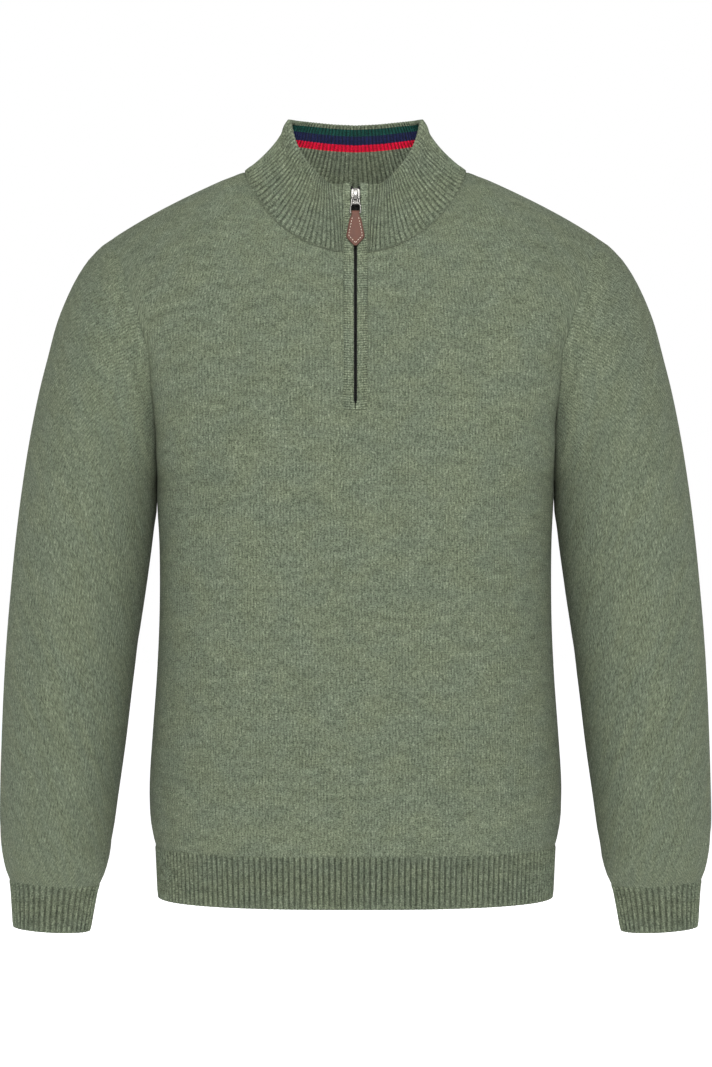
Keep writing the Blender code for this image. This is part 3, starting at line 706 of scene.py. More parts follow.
# ---------------------------------------------------------------- shader groups and materials

def shader_group(name, inputs, outputs):
    tree = bpy.data.node_groups.new(name, "ShaderNodeTree")
    for label, kind, value in inputs:
        socket = tree.interface.new_socket(label, in_out="INPUT", socket_type=kind)
        if value is not None:
            socket.default_value = value
    for label, kind in outputs:
        tree.interface.new_socket(label, in_out="OUTPUT", socket_type=kind)
    return tree, tree.nodes.new("NodeGroupInput"), tree.nodes.new("NodeGroupOutput")


def noise(tree, vector, scale, detail=2.0, roughness=0.55, offset=None):
    made = node(tree, "ShaderNodeTexNoise", noise_dimensions="3D")
    made.inputs["Detail"].default_value = detail
    made.inputs["Roughness"].default_value = roughness
    if isinstance(scale, (int, float)):
        made.inputs["Scale"].default_value = scale
    else:
        tree.links.new(scale, made.inputs["Scale"])
    if offset is not None:
        shifted = node(tree, "ShaderNodeVectorMath", operation="ADD")
        tree.links.new(vector, shifted.inputs[0])
        shifted.inputs[1].default_value = offset
        vector = shifted.outputs[0]
    tree.links.new(vector, made.inputs["Vector"])
    return made.outputs["Fac"]


def ramp(tree, value, low, high, to_low=0.0, to_high=1.0):
    made = node(tree, "ShaderNodeMapRange", interpolation_type="SMOOTHSTEP")
    made.inputs["From Min"].default_value = low
    made.inputs["From Max"].default_value = high
    made.inputs["To Min"].default_value = to_low
    made.inputs["To Max"].default_value = to_high
    tree.links.new(value, made.inputs["Value"])
    return made.outputs["Result"]


def mix_colour(tree, factor, first, second, blend="MIX"):
    made = node(tree, "ShaderNodeMix", data_type="RGBA", blend_type=blend)
    for socket, value in ((made.inputs["Factor"], factor), (made.inputs["A"], first),
                          (made.inputs["B"], second)):
        if isinstance(value, (int, float)):
            socket.default_value = value
        elif isinstance(value, bpy.types.NodeSocket):
            tree.links.new(value, socket)
        else:
            socket.default_value = (*value[:3], 1.0)
    return made.outputs["Result"]


def heather_group():
    """Melange wool: masks of pale and dark fibres and soft clouds, over cloth lengths in metres."""
    if "Heather" in bpy.data.node_groups:
        return bpy.data.node_groups["Heather"]
    tree, group_in, group_out = shader_group("Heather", (
        ("Vector", "NodeSocketVector", None), ("Fleck scale", "NodeSocketFloat", 500.0)), (
        ("Pale", "NodeSocketFloat"), ("Dark", "NodeSocketFloat"), ("Cloud", "NodeSocketFloat"),
        ("Nap", "NodeSocketFloat"), ("Streak", "NodeSocketFloat")))
    stretch = node(tree, "ShaderNodeVectorMath", operation="MULTIPLY")
    stretch.inputs[1].default_value = (0.85, 1.0, 1.0)
    tree.links.new(group_in.outputs["Vector"], stretch.inputs[0])
    vector = stretch.outputs[0]
    scale = group_in.outputs["Fleck scale"]
    pale = noise(tree, vector, scale, 3.0, 0.65)
    dark = noise(tree, vector, scale, 3.0, 0.65, (3.1, 1.7, 0.4))
    coarse = noise(tree, vector, 95.0, 3.0, 0.6, (0.7, 5.2, 1.1))
    cloud = noise(tree, vector, 30.0, 3.0, 0.55, (1.9, 0.3, 2.2))
    nap = noise(tree, vector, 780.0, 3.0, 0.75, (4.4, 2.6, 0.9))
    wide = node(tree, "ShaderNodeVectorMath", operation="MULTIPLY")
    wide.inputs[1].default_value = (0.22, 1.0, 1.0)
    tree.links.new(group_in.outputs["Vector"], wide.inputs[0])
    streak = noise(tree, wide.outputs[0], 150.0, 2.0, 0.6, (6.1, 3.3, 0.2))
    tree.links.new(streak, group_out.inputs["Streak"])
    pale = math_node(tree, "ADD", pale, math_node(tree, "MULTIPLY", coarse, 0.22))
    dark = math_node(tree, "SUBTRACT", dark, math_node(tree, "MULTIPLY", coarse, 0.22))
    tree.links.new(ramp(tree, pale, 0.62, 0.80), group_out.inputs["Pale"])
    tree.links.new(ramp(tree, dark, 0.38, 0.56), group_out.inputs["Dark"])
    tree.links.new(cloud, group_out.inputs["Cloud"])
    tree.links.new(nap, group_out.inputs["Nap"])
    return tree


def loops_group():
    """Height of knitted loops: rounded wales that sway and break up, crossed by slanting courses."""
    if "Knit loops" in bpy.data.node_groups:
        return bpy.data.node_groups["Knit loops"]
    tree, group_in, group_out = shader_group("Knit loops", (
        ("Vector", "NodeSocketVector", None), ("Wale", "NodeSocketFloat", 0.0029),
        ("Course", "NodeSocketFloat", 0.0022)), (("Height", "NodeSocketFloat"),
                                                ("Strand", "NodeSocketFloat")))
    vector = group_in.outputs["Vector"]
    parts = node(tree, "ShaderNodeSeparateXYZ")
    tree.links.new(vector, parts.inputs[0])
    sway = math_node(tree, "MULTIPLY", math_node(tree, "SUBTRACT", noise(tree, vector, 55.0, 2.0), 0.5),
                     0.0030)
    side = math_node(tree, "DIVIDE", math_node(tree, "ADD", parts.outputs["X"], sway),
                     group_in.outputs["Wale"])
    place = math_node(tree, "FRACT", side)
    wale = math_node(tree, "SINE", math_node(tree, "MULTIPLY", place, math.pi))
    lean = math_node(tree, "ABSOLUTE", math_node(tree, "SUBTRACT", place, 0.5))
    rise = math_node(tree, "DIVIDE", parts.outputs["Y"], group_in.outputs["Course"])
    rise = math_node(tree, "ADD", rise, math_node(tree, "MULTIPLY", lean, 1.2))
    bead = math_node(tree, "ABSOLUTE", math_node(tree, "SINE", math_node(tree, "MULTIPLY", rise, math.pi)))
    bead = math_node(tree, "ADD", math_node(tree, "MULTIPLY", bead, 0.45), 0.55)
    tree.links.new(math_node(tree, "MULTIPLY", wale, bead), group_out.inputs["Height"])
    long = node(tree, "ShaderNodeVectorMath", operation="MULTIPLY")
    long.inputs[1].default_value = (1.0, 0.30, 1.0)
    tree.links.new(vector, long.inputs[0])
    strand = noise(tree, long.outputs[0], 520.0, 3.0, 0.65, (2.2, 8.1, 3.3))
    tree.links.new(strand, group_out.inputs["Strand"])
    return tree


def blank_material(name, roughness, metallic=0.0):
    made = bpy.data.materials.new(name)
    made.use_nodes = True
    tree = made.node_tree
    shader = tree.nodes["Principled BSDF"]
    shader.inputs["Roughness"].default_value = roughness
    shader.inputs["Metallic"].default_value = metallic
    return made, tree, shader


def bump(tree, shader, height, strength, distance):
    made = node(tree, "ShaderNodeBump")
    made.inputs["Strength"].default_value = strength
    made.inputs["Distance"].default_value = distance
    tree.links.new(height, made.inputs["Height"])
    tree.links.new(made.outputs["Normal"], shader.inputs["Normal"])


def wool_material(name, wale=0.0029, course=0.0022, stripes=False, rib_shade=0.60, lift=1.0):
    """Heathered lambswool with knitted loops, fine wales, a soft nap, painted shade between the ribs and
    painted light on lifted ridges.
    """
    made, tree, shader = blank_material(name, 0.95)
    shader.inputs["Sheen Weight"].default_value = 0.05
    shader.inputs["Sheen Roughness"].default_value = 0.5
    shader.inputs["Sheen Tint"].default_value = (0.80, 0.86, 0.68, 1.0)
    shader.inputs["Specular IOR Level"].default_value = 0.12
    flat = node(tree, "ShaderNodeUVMap", uv_map="cloth")
    heather = node(tree, "ShaderNodeGroup", node_tree=heather_group())
    tree.links.new(flat.outputs["UV"], heather.inputs["Vector"])
    loops = node(tree, "ShaderNodeGroup", node_tree=loops_group())
    loops.inputs["Wale"].default_value = wale
    loops.inputs["Course"].default_value = course
    tree.links.new(flat.outputs["UV"], loops.inputs["Vector"])
    tone = colours()
    hue = mix_colour(tree, ramp(tree, heather.outputs["Cloud"], 0.34, 0.66), tone.sage_cool, tone.sage)
    colour = mix_colour(tree, math_node(tree, "MULTIPLY", heather.outputs["Dark"], 0.65),
                        hue, tone.sage_dark)
    colour = mix_colour(tree, math_node(tree, "MULTIPLY", heather.outputs["Pale"], 0.40),
                        colour, tone.sage_light)
    if stripes:
        parts = node(tree, "ShaderNodeSeparateXYZ")
        tree.links.new(flat.outputs["UV"], parts.inputs[0])
        for top, bottom, stripe in STRIPES:
            inside = math_node(tree, "MULTIPLY",
                               math_node(tree, "GREATER_THAN", parts.outputs["Y"], top),
                               math_node(tree, "LESS_THAN", parts.outputs["Y"], bottom))
            colour = mix_colour(tree, inside, colour, stripe)
    # Painted shade: the grooves between the ribs are darkened by the rib_turn wave, as strongly as
    # rib_fade says; a lift above 1 paints the ridges lighter, as painted light.
    turn = node(tree, "ShaderNodeAttribute", attribute_name="rib_turn")
    depth = node(tree, "ShaderNodeAttribute", attribute_name="rib_fade")
    wave = math_node(tree, "COSINE", math_node(tree, "MULTIPLY", turn.outputs["Fac"], 2 * math.pi))
    painted_groove_shade = math_node(tree, "MULTIPLY", ramp(tree, wave, -1.0, 0.2, 1.0 - rib_shade, 0.0),
                       depth.outputs["Fac"])
    painted_shade_and_tone = math_node(tree, "SUBTRACT", lift, painted_groove_shade)
    # Painted light in the knit: shade in the nap's pits and between the loops, highlights on the nap and
    # the loops' tops; the streak and strand ramps are the yarn's own tone.
    for value, low, high, dark, pale in ((heather.outputs["Nap"], 0.36, 0.50, 0.48, 1.0),
                                         (heather.outputs["Nap"], 0.44, 0.70, 0.94, 1.36),
                                         (heather.outputs["Streak"], 0.30, 0.70, 0.92, 1.08),
                                         (loops.outputs["Strand"], 0.34, 0.66, 0.77, 1.22),
                                         (loops.outputs["Height"], 0.0, 0.8, 0.86, 1.06)):
        painted_shade_and_tone = math_node(tree, "MULTIPLY", painted_shade_and_tone, ramp(tree, value, low, high, dark, pale))
    grey = node(tree, "ShaderNodeCombineColor")
    for channel in ("Red", "Green", "Blue"):
        tree.links.new(painted_shade_and_tone, grey.inputs[channel])
    colour = mix_colour(tree, 1.0, colour, grey.outputs["Color"], "MULTIPLY")
    tree.links.new(colour, shader.inputs["Base Color"])
    height = math_node(tree, "ADD", math_node(tree, "MULTIPLY", loops.outputs["Height"], 0.55),
                       math_node(tree, "MULTIPLY", loops.outputs["Strand"], 0.9))
    height = math_node(tree, "ADD", height, math_node(tree, "MULTIPLY", heather.outputs["Nap"], 1.1))
    bump(tree, shader, height, 0.9, 0.0007)
    return made


def plain_material(name, colour, roughness, metallic=0.0, grain=900.0, strength=0.1, spread=0.12):
    """A finish with fine grain and slight variation of tone, on the piece's own place."""
    made, tree, shader = blank_material(name, roughness, metallic)
    place = node(tree, "ShaderNodeTexCoord")
    fine = noise(tree, place.outputs["Object"], grain, 3.0)
    broad = noise(tree, place.outputs["Object"], grain / 7, 2.0, 0.5, (1.3, 0.4, 2.2))
    dull = tuple(value * (1 - spread) for value in colour)
    tone = mix_colour(tree, ramp(tree, broad, 0.3, 0.7), dull, tuple(colour))
    tree.links.new(tone, shader.inputs["Base Color"])
    tree.links.new(ramp(tree, broad, 0.3, 0.7, roughness * 0.85, min(roughness * 1.2, 1.0)),
                   shader.inputs["Roughness"])
    bump(tree, shader, fine, strength, 0.0002)
    return made


def leather_material():
    """Brown calf leather: pebbled grain, darker burnished edges by the edge attribute."""
    made, tree, shader = blank_material("tab_leather", 0.5)
    shader.inputs["Specular IOR Level"].default_value = 0.28
    place = node(tree, "ShaderNodeTexCoord")
    edge = node(tree, "ShaderNodeAttribute", attribute_name="edge")
    cells = node(tree, "ShaderNodeTexVoronoi", feature="DISTANCE_TO_EDGE")
    cells.inputs["Scale"].default_value = 1500.0
    tree.links.new(place.outputs["Object"], cells.inputs["Vector"])
    broad = noise(tree, place.outputs["Object"], 210.0, 4.0)
    tone = tuple(colours().leather)
    deep = tuple(value * 0.62 for value in tone)
    colour = mix_colour(tree, ramp(tree, broad, 0.25, 0.75), tuple(v * 0.86 for v in tone),
                        tuple(min(v * 1.12, 1.0) for v in tone))
    colour = mix_colour(tree, math_node(tree, "MULTIPLY", edge.outputs["Fac"], 0.75), colour, deep)
    tree.links.new(colour, shader.inputs["Base Color"])
    tree.links.new(ramp(tree, broad, 0.3, 0.7, 0.50, 0.66), shader.inputs["Roughness"])
    height = math_node(tree, "ADD", ramp(tree, cells.outputs["Distance"], 0.0, 0.25),
                       math_node(tree, "MULTIPLY", broad, 0.8))
    bump(tree, shader, height, 0.35, 0.00012)
    return made


def material(name):
    """One of the object's finishes, made when it is first asked for."""
    if name in bpy.data.materials and bpy.data.materials[name].get("sweater"):
        return bpy.data.materials[name]
    tone = colours()
    if name == "wool_jersey":
        made = wool_material(name)
    elif name == "wool_rib":
        made = wool_material(name, 0.0027, 0.0022)
    # Collar and binding are the jersey's wool with their ridges lifted lighter by lift: painted light,
    # balanced against their painted groove shade.
    elif name == "wool_collar":
        made = wool_material(name, 0.0018, 0.0022, stripes=True, rib_shade=0.54, lift=1.05)
    elif name == "wool_binding":
        made = wool_material(name, 0.0025, 0.0022, rib_shade=0.50, lift=1.28)
    elif name == "wool_yarn":
        made = plain_material(name, tuple(v * 0.95 for v in tone.sage), 0.95, grain=1500.0, strength=0.4,
                              spread=0.3)
    elif name == "tab_leather":
        made = leather_material()
    elif name == "tab_thread":
        made = plain_material(name, tone.thread, 0.8, grain=4000.0, strength=0.5)
    elif name == "nickel_plate":
        made = plain_material(name, tone.nickel, 0.30, 1.0, 2200.0, 0.06, 0.10)
    elif name == "zip_tape":
        made = plain_material(name, tone.zip_black, 0.85, grain=2500.0, strength=0.5, spread=0.4)
    elif name == "zip_teeth_nylon":
        made = plain_material(name, tuple(v * 1.5 for v in tone.zip_black), 0.45, grain=1500.0)
    else:
        raise ValueError(f"no finish named {name}")
    made["sweater"] = True
    return made


def settle(made, node_names, finish=None, body="garment"):
    """Hands a finished piece to the frame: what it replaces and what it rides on."""
    if finish is not None:
        made.data.materials.clear()
        made.data.materials.append(material(finish))
    if node_names:
        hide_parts(*node_names)
    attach(made, body)
    return made


# ---------------------------------------------------------------- pieces

class SWEATER_OT_panels(bpy.types.Operator):
    """Front and back panels in jersey"""
    bl_idname = "sweater.panels"
    bl_label = "Front and back"

    def execute(self, context):
        low = len(places_along(PANEL_SECTIONS, 0, SLIT_ROW, CELL_HEIGHT, (0, 2))) - 1
        for facing, name, area in ((-1, "front_panel", 0.315), (1, "back_panel", 0.325)):
            rows = [mirrored(row) for row in half_panel(facing)]
            slit = {(row, HALF_CELLS) for row in range(low, len(rows))} if facing < 0 else ()
            made = cloth(f"cloth_{name}", rows, False, facing < 0, slit, "body")
            made = with_wall(made, sizes().jersey_wall)
            settle(made, [name], "wool_jersey")
        return {"FINISHED"}


class SWEATER_OT_sleeves(bpy.types.Operator):
    """Set-in sleeves in jersey"""
    bl_idname = "sweater.sleeves"
    bl_label = "Sleeves"

    def execute(self, context):
        rows = sleeve_rows()
        for word, own, outward in (("left", rows, True), ("right", other_side(rows), False)):
            made = cloth(f"cloth_{word}_sleeve", own, True, outward, fold_piece=word)
            made = with_wall(made, sizes().jersey_wall)
            settle(made, [f"{word}_sleeve"], "wool_jersey")
        return {"FINISHED"}


def rib_sheet(name, rows, closed, outward_first, ribs, finish):
    """A corrugated rib, low at its seam and full below: ribs is how many there are in a row."""
    columns = len(rows[0])
    made = cloth(name, rows, closed, outward_first, seam=False)
    steps = columns if closed else columns - 1
    turns = [ribs * column / steps for _ in rows for column in range(columns)]
    count = len(rows)
    from_seam = range(count) if rows[0][0].z > rows[-1][0].z else range(count - 1, -1, -1)
    fades = [min(1.0, 0.02 + 0.36 * row) * min(1.0, 0.50 + 0.25 * (count - 1 - row))
             for row in from_seam for _ in range(columns)]
    return ribbed(made, turns, fades, sizes().rib_height, material(finish))


class SWEATER_OT_ribs(bpy.types.Operator):
    """Ribbed cuffs and the two halves of the ribbed hem"""
    bl_idname = "sweater.ribs"
    bl_label = "Cuffs and hem"

    def execute(self, context):
        steps_per_rib = 8
        places = [place * 3 / 16 for place in range(17)]
        for facing, name in ((-1, "front_hem_rib"), (1, "back_hem_rib")):
            sections = [through(HEM_SECTIONS, place) for place in places]
            wide = [mirrored(section_row(z, half, 0.0, front if facing < 0 else back, 1.0, facing))
                    for z, half, front, back in sections]
            length = sum((b - a).length for a, b in zip(wide[0], wide[0][1:]))
            ribs = round(length / sizes().rib_pitch)
            rows = [evenly(row, ribs * steps_per_rib) for row in wide]
            made = rib_sheet(f"cloth_{name}", rows, False, facing < 0, ribs, "wool_rib")
            made = with_wall(made, sizes().rib_wall)
            settle(made, [name], "wool_rib")
        angles = [2 * math.pi * number / 180 for number in range(180)]
        rings = [sleeve_ring(through(CUFF_SECTIONS, place), angles) for place in places]
        length = sum((b - a).length for a, b in zip(rings[-1], rings[-1][1:]))
        ribs = round(length / sizes().rib_pitch)
        rows = [evenly(ring, ribs * steps_per_rib, True) for ring in rings]
        for word, own, outward in (("left", rows, True), ("right", other_side(rows), False)):
            made = rib_sheet(f"cloth_{word}_cuff", own, True, outward, ribs, "wool_rib")
            made = with_wall(made, sizes().rib_wall)
            settle(made, [f"{word}_cuff"], "wool_rib")
        return {"FINISHED"}


def collar_base(place):
    """Neck seam point where the rib that ends at a place along the collar's top begins."""
    angle = through(COLLAR_FOOT, place)[0]
    if angle <= math.pi / 2:
        return neck_point(angle, -1)
    return neck_point(math.pi - angle, 1)


def collar_outer(place, fraction):
    """Outer side of the collar: hollow below, swelling and curling inwards at its folded top."""
    x, y, z, hollow = through(COLLAR_SECTIONS, place)
    base, top = collar_base(place), Vector((x, y, z))
    away = Vector((base.x + x, base.y + y, 0.0)).normalized()
    curl = max(0.0, (fraction - 0.72) / 0.28)
    swell = 0.0016 * min(place / 3.0, 1.0) * (math.sin(math.pi * min(curl, 1.0)) - 0.35 * curl * curl)
    proud = 0.0016 * math.exp(-(fraction / 0.05) ** 2)
    return base.lerp(top, fraction) + away * (swell + proud - hollow * 4 * fraction * (1 - fraction))


def collar_ring(place, wall):
    """Closed section of the folded collar: up the outside, over the fold, down the inside and on
    below the seam as its facing."""
    near, far = max(place - 0.02, 0.0), min(place + 0.02, len(COLLAR_SECTIONS) - 1.0)
    outside, normals = [], []
    rises, mean_height = 22, 0.062
    top_fraction = 1 - wall / 2 / mean_height
    for rise in range(rises + 1):
        fraction = top_fraction * rise / rises
        point = collar_outer(place, fraction)
        along = collar_outer(far, fraction) - collar_outer(near, fraction)
        up = collar_outer(place, fraction + 0.02) - collar_outer(place, fraction - 0.02)
        normal = up.cross(along).normalized()
        if normal.dot(Vector((point.x, point.y, 0.0))) < 0:
            normal = -normal
        outside.append(point)
        normals.append(normal)
    up = (outside[-1] - outside[-2]).normalized()
    middle = outside[-1] - normals[-1] * wall / 2
    fold = []
    for step in range(1, 6):
        angle = math.pi * step / 6
        fold.append(middle + normals[-1] * (math.cos(angle) * wall / 2)
                    + up * (math.sin(angle) * wall / 2))
    inside = [point - normal * wall for point, normal in zip(outside, normals)]
    reach = 0.012 + 0.10 * min(max((place - 3.0) / 3.0, 0.0), 1.0)
    facing = [collar_outer(place, -reach * share) - normals[0] * wall for share in (0.5, 1.0)]
    ring = outside + fold + inside[::-1] + facing
    crest = len(outside) + 2
    return ring, crest


class SWEATER_OT_collar(bpy.types.Operator):
    """Folded stand collar in rib, with its stripes and linked seam"""
    bl_idname = "sweater.collar"
    bl_label = "Collar"

    def execute(self, context):
        wall = sizes().collar_wall - sizes().collar_rib_height / 2
        top = [collar_outer(place / 20, 1.0) for place in range(201)]
        length = 2 * sum((b - a).length for a, b in zip(top, top[1:]))
        ribs = 2 * round(COLLAR_FOOT[-1][1])
        so_far = [through(COLLAR_FOOT, place / 20)[1] for place in range(201)]
        wanted = np.linspace(0.0, so_far[-1], ribs * 3 + 1)
        places = [float(np.interp(w, so_far, np.arange(201) / 20)) for w in wanted]
        half = [collar_ring(place, wall) for place in places]
        crest = half[0][1]
        rings = [[Vector((-p.x, p.y, p.z)) for p in ring] for ring, _ in half]
        rings += [ring for ring, _ in reversed(half[:-1])]
        made = self.folded_mesh(rings, crest, length)
        columns, around = len(rings), len(rings[0])
        turns = [ribs * column / (columns - 1) for column in range(columns) for _ in range(around)]
        fades = [self.fade(index, around, crest) for _ in rings for index in range(around)]
        made = ribbed(made, turns, fades, sizes().collar_rib_height, material("wool_collar"))
        settle(made, ["collar"], "wool_collar")
        seam = []
        for place in np.linspace(0.0, 10.0, 160):
            point = collar_outer(place, -0.012)
            away = Vector((point.x, point.y, 0.0)).normalized()
            seam.append(point - away * 0.0006)
        run = [Vector((-p.x, p.y, p.z)) for p in seam] + seam[-2::-1]
        made = stitches("collar_linking", [run], LINKING_PITCH, (0.0011, 0.0013, 0.0024),
                        material("wool_yarn"))
        settle(made, ())
        return {"FINISHED"}

    @staticmethod
    def fade(index, around, crest):
        """Ribs are full on both sides and low over the fold and at the seam."""
        from_crest = max(abs(index - crest) - 1, 0)
        from_end = min(index, around - 1 - index)
        return min(1.0, 0.30 + 0.45 * from_crest) * min(1.0, 0.30 + 0.70 * from_end)

    @staticmethod
    def folded_mesh(rings, crest, length):
        """Closed wall from the rings; the UV map's height is the distance from the folded edge."""
        mesh = bmesh.new()
        verts = [[mesh.verts.new(point) for point in ring] for ring in rings]
        uv = mesh.loops.layers.uv.new("cloth")
        around = len(rings[0])
        heights = []
        for ring in rings:
            steps = [(b - a).length for a, b in zip(ring, ring[1:])]
            total = np.concatenate(([0.0], np.cumsum(steps)))
            heights.append(total - total[crest])
        columns = len(rings)
        for column in range(columns - 1):
            for index in range(around):
                after = (index + 1) % around
                corners = [(column, index), (column, after), (column + 1, after), (column + 1, index)]
                face = mesh.faces.new([verts[c][i] for c, i in corners])
                face.smooth = True
                for loop, (c, i) in zip(face.loops, corners):
                    loop[uv].uv = (length * c / (columns - 1), heights[c][i])
        for column in (0, columns - 1):
            mesh.faces.new(verts[column])
        bmesh.ops.recalc_face_normals(mesh, faces=mesh.faces)
        data = bpy.data.meshes.new("cloth_collar")
        mesh.to_mesh(data)
        mesh.free()
        return link(bpy.data.objects.new("cloth_collar", data))


class SWEATER_OT_seams(bpy.types.Operator):
    """Linking stitches round the armholes"""
    bl_idname = "sweater.seams"
    bl_label = "Armhole seams"

    def execute(self, context):
        loop = armhole_loop()
        for word, side in (("left", 1), ("right", -1)):
            run = [Vector((side * p.x, p.y, p.z)) for p in loop]
            middle = sum(run, Vector()) / len(run)
            run = [p + (middle - p).normalized() * 0.0012 for p in run]
            made = stitches(f"{word}_armhole_linking", [run], LINKING_PITCH, (0.0009, 0.0010, 0.0024),
                            material("wool_yarn"), closed=True)
            settle(made, ())
        return {"FINISHED"}


# ---------------------------------------------------------------- zip

def front_line():
    """Middle of the front from the collar's top down past the slit's end: point and outward."""
    collar = [collar_outer(0.0, fraction / 20) for fraction in range(20, -1, -1)]
    rows = half_panel(-1)
    low = len(places_along(PANEL_SECTIONS, 0, SLIT_ROW - 1, CELL_HEIGHT, (0, 2))) - 1
    panel = [row[0] for row in rows[low:-1]]
    line = [Vector((0.0, p.y, p.z)) for p in collar + panel[::-1]]
    result = []
    for number, point in enumerate(line):
        above = line[max(number - 2, 0)]
        below = line[min(number + 2, len(line) - 1)]
        down = (below - above).normalized()
        result.append((point, Vector((0.0, down.z, -down.y))))
    return result


def line_at(line, height):
    for (start, start_out), (end, end_out) in zip(line, line[1:]):
        if start.z >= height >= end.z:
            fraction = (start.z - height) / max(start.z - end.z, 1e-9)
            return start.lerp(end, fraction), start_out.lerp(end_out, fraction).normalized()
    return line[-1] if height < line[-1][0].z else line[0]


def zip_sections(top, bottom, step):
    """Points and outward directions down the front line, about a step apart."""
    line = front_line()
    count = max(2, round((top - bottom) / step))
    return [line_at(line, top + (bottom - top) * number / count) for number in range(count + 1)]


def tube_of_sections(name, rings):
    """Closed skin over closed rings of points, with quads over both ends."""
    mesh = bmesh.new()
    verts = [[mesh.verts.new(point) for point in ring] for ring in rings]
    uv = mesh.loops.layers.uv.new("cloth")
    around = len(rings[0])
    for row in range(len(rings) - 1):
        for index in range(around):
            after = (index + 1) % around
            face = mesh.faces.new((verts[row][index], verts[row][after],
                                   verts[row + 1][after], verts[row + 1][index]))
            face.smooth = True
            for loop in face.loops:
                loop[uv].uv = (loop.vert.co.x, loop.vert.co.z)
    for row in (0, len(rings) - 1):
        for index in range(around // 2 - 1):
            mesh.faces.new([verts[row][i] for i in
                            (index, index + 1, around - 2 - index, around - 1 - index)])
    bmesh.ops.recalc_face_normals(mesh, faces=mesh.faces)
    data = bpy.data.meshes.new(name)
    mesh.to_mesh(data)
    mesh.free()
    return link(bpy.data.objects.new(name, data))


def soft_strip(near, far, proud, wall, fall, corner=0.0011):
    """Rounded section of a strip as (x, depth) pairs; its face falls away to the far edge."""
    outline = []
    span = far - near - 2 * corner
    corners = ((far - corner, -proud + corner, 90), (far - corner, wall - proud - corner, 0),
               (near + corner, wall - proud - corner, -90), (near + corner, -proud + corner, -180))
    for x, depth, start in corners:
        for step in range(4):
            angle = math.radians(start - 30 * step)
            outline.append((x + corner * math.cos(angle), depth - corner * math.sin(angle)))
        if start in (0, -180):
            sign, level = (-1, wall - proud) if start == 0 else (1, -proud)
            outline += [(x + sign * span * share, level) for share in (0.25, 0.5, 0.75)]
    return [(x, depth + (fall * ((x - near) / (far - near)) ** 2 if depth < 0.0008 else 0.0))
            for x, depth in outline]


class SWEATER_OT_bindings(bpy.types.Operator):
    """Knitted bindings on both edges of the zip, with their cross ridges"""
    bl_idname = "sweater.bindings"
    bl_label = "Zip bindings"

    def execute(self, context):
        steps_per_ridge = 6
        sections = zip_sections(BINDING_TOP, SLIT_BOTTOM + 0.0003, BINDING_RIDGE_PITCH / steps_per_ridge)
        for word, side in (("left", 1), ("right", -1)):
            rings, turns, fades = [], [], []
            for number, (point, outward) in enumerate(sections):
                near, far = self.inner_edge(point.z), SLIT_HALF + 0.0004
                strip = soft_strip(near, far, 0.0009, 0.0031, 0.0009)
                turns += [number / steps_per_ridge + 0.5 * (x - near) / far for x, _ in strip]
                # The fades rise towards the outer edge: the ridges grow there and the painted groove shade
                # darkens, a painted shadow where the binding steps down to the panel; 0.2 keeps both low
                # on the back.
                fades += [0.6 + 0.9 * (x - near) / far if depth < 0.0012 else 0.2 for x, depth in strip]
                rings.append([point + Vector((side * x, 0.0, 0.0)) - outward * depth
                              for x, depth in strip])
            made = tube_of_sections(f"{word}_binding", rings)
            made = ribbed(made, turns, fades, BINDING_RIDGE_HEIGHT, material("wool_binding"))
            settle(made, [f"{word}_zip_binding"], "wool_binding")
        return {"FINISHED"}

    @staticmethod
    def inner_edge(height):
        """The bindings part round the slider and meet below the zip."""
        if height > BINDING_OPEN_BY:
            return BINDING_AT_SLIDER
        if height > BINDING_SHUT_BY:
            blend = (height - BINDING_SHUT_BY) / (BINDING_OPEN_BY - BINDING_SHUT_BY)
            smooth = blend * blend * (3 - 2 * blend)
            return BINDING_AT_CHAIN + (BINDING_AT_SLIDER - BINDING_AT_CHAIN) * smooth
        if height < BINDING_MET_BY:
            return BINDING_AT_END
        if height < BINDING_MEETS_BY:
            blend = (BINDING_MEETS_BY - height) / (BINDING_MEETS_BY - BINDING_MET_BY)
            return BINDING_AT_CHAIN + (BINDING_AT_END - BINDING_AT_CHAIN) * blend
        return BINDING_AT_CHAIN


class SWEATER_OT_zip(bpy.types.Operator):
    """Zip tapes and the closed rows of teeth"""
    bl_idname = "sweater.zip"
    bl_label = "Zip tapes and teeth"

    def execute(self, context):
        tape = zip_sections(TAPE_TOP, SLIT_BOTTOM + 0.0006, 0.004)
        for word, side in (("left", 1), ("right", -1)):
            rings = []
            for point, outward in tape:
                near = 0.0024 if point.z > -0.034 else 0.0001
                rings.append([point + Vector((side * x, 0.0, 0.0)) - outward * depth
                              for x, depth in ((near, 0.0042), (0.0104, 0.0030), (0.0104, 0.0036),
                                               (near, 0.0048))])
            made = tube_of_sections(f"{word}_tape", rings)
            settle(made, [f"{word}_zip_tape"], "zip_tape")
        teeth = []
        chain = zip_sections(CHAIN_TOP, CHAIN_BOTTOM, 0.004)
        for side in (1, -1):
            teeth.append([point + Vector((side * 0.0009, 0.0, side * 0.0003)) - outward * 0.0034
                          for point, outward in chain])
        made = stitches("zip_teeth", teeth, sizes().tooth_pitch, (0.0023, 0.0014, 0.0009),
                        material("zip_teeth_nylon"), level=True)
        settle(made, ["zip_chain"])
        return {"FINISHED"}


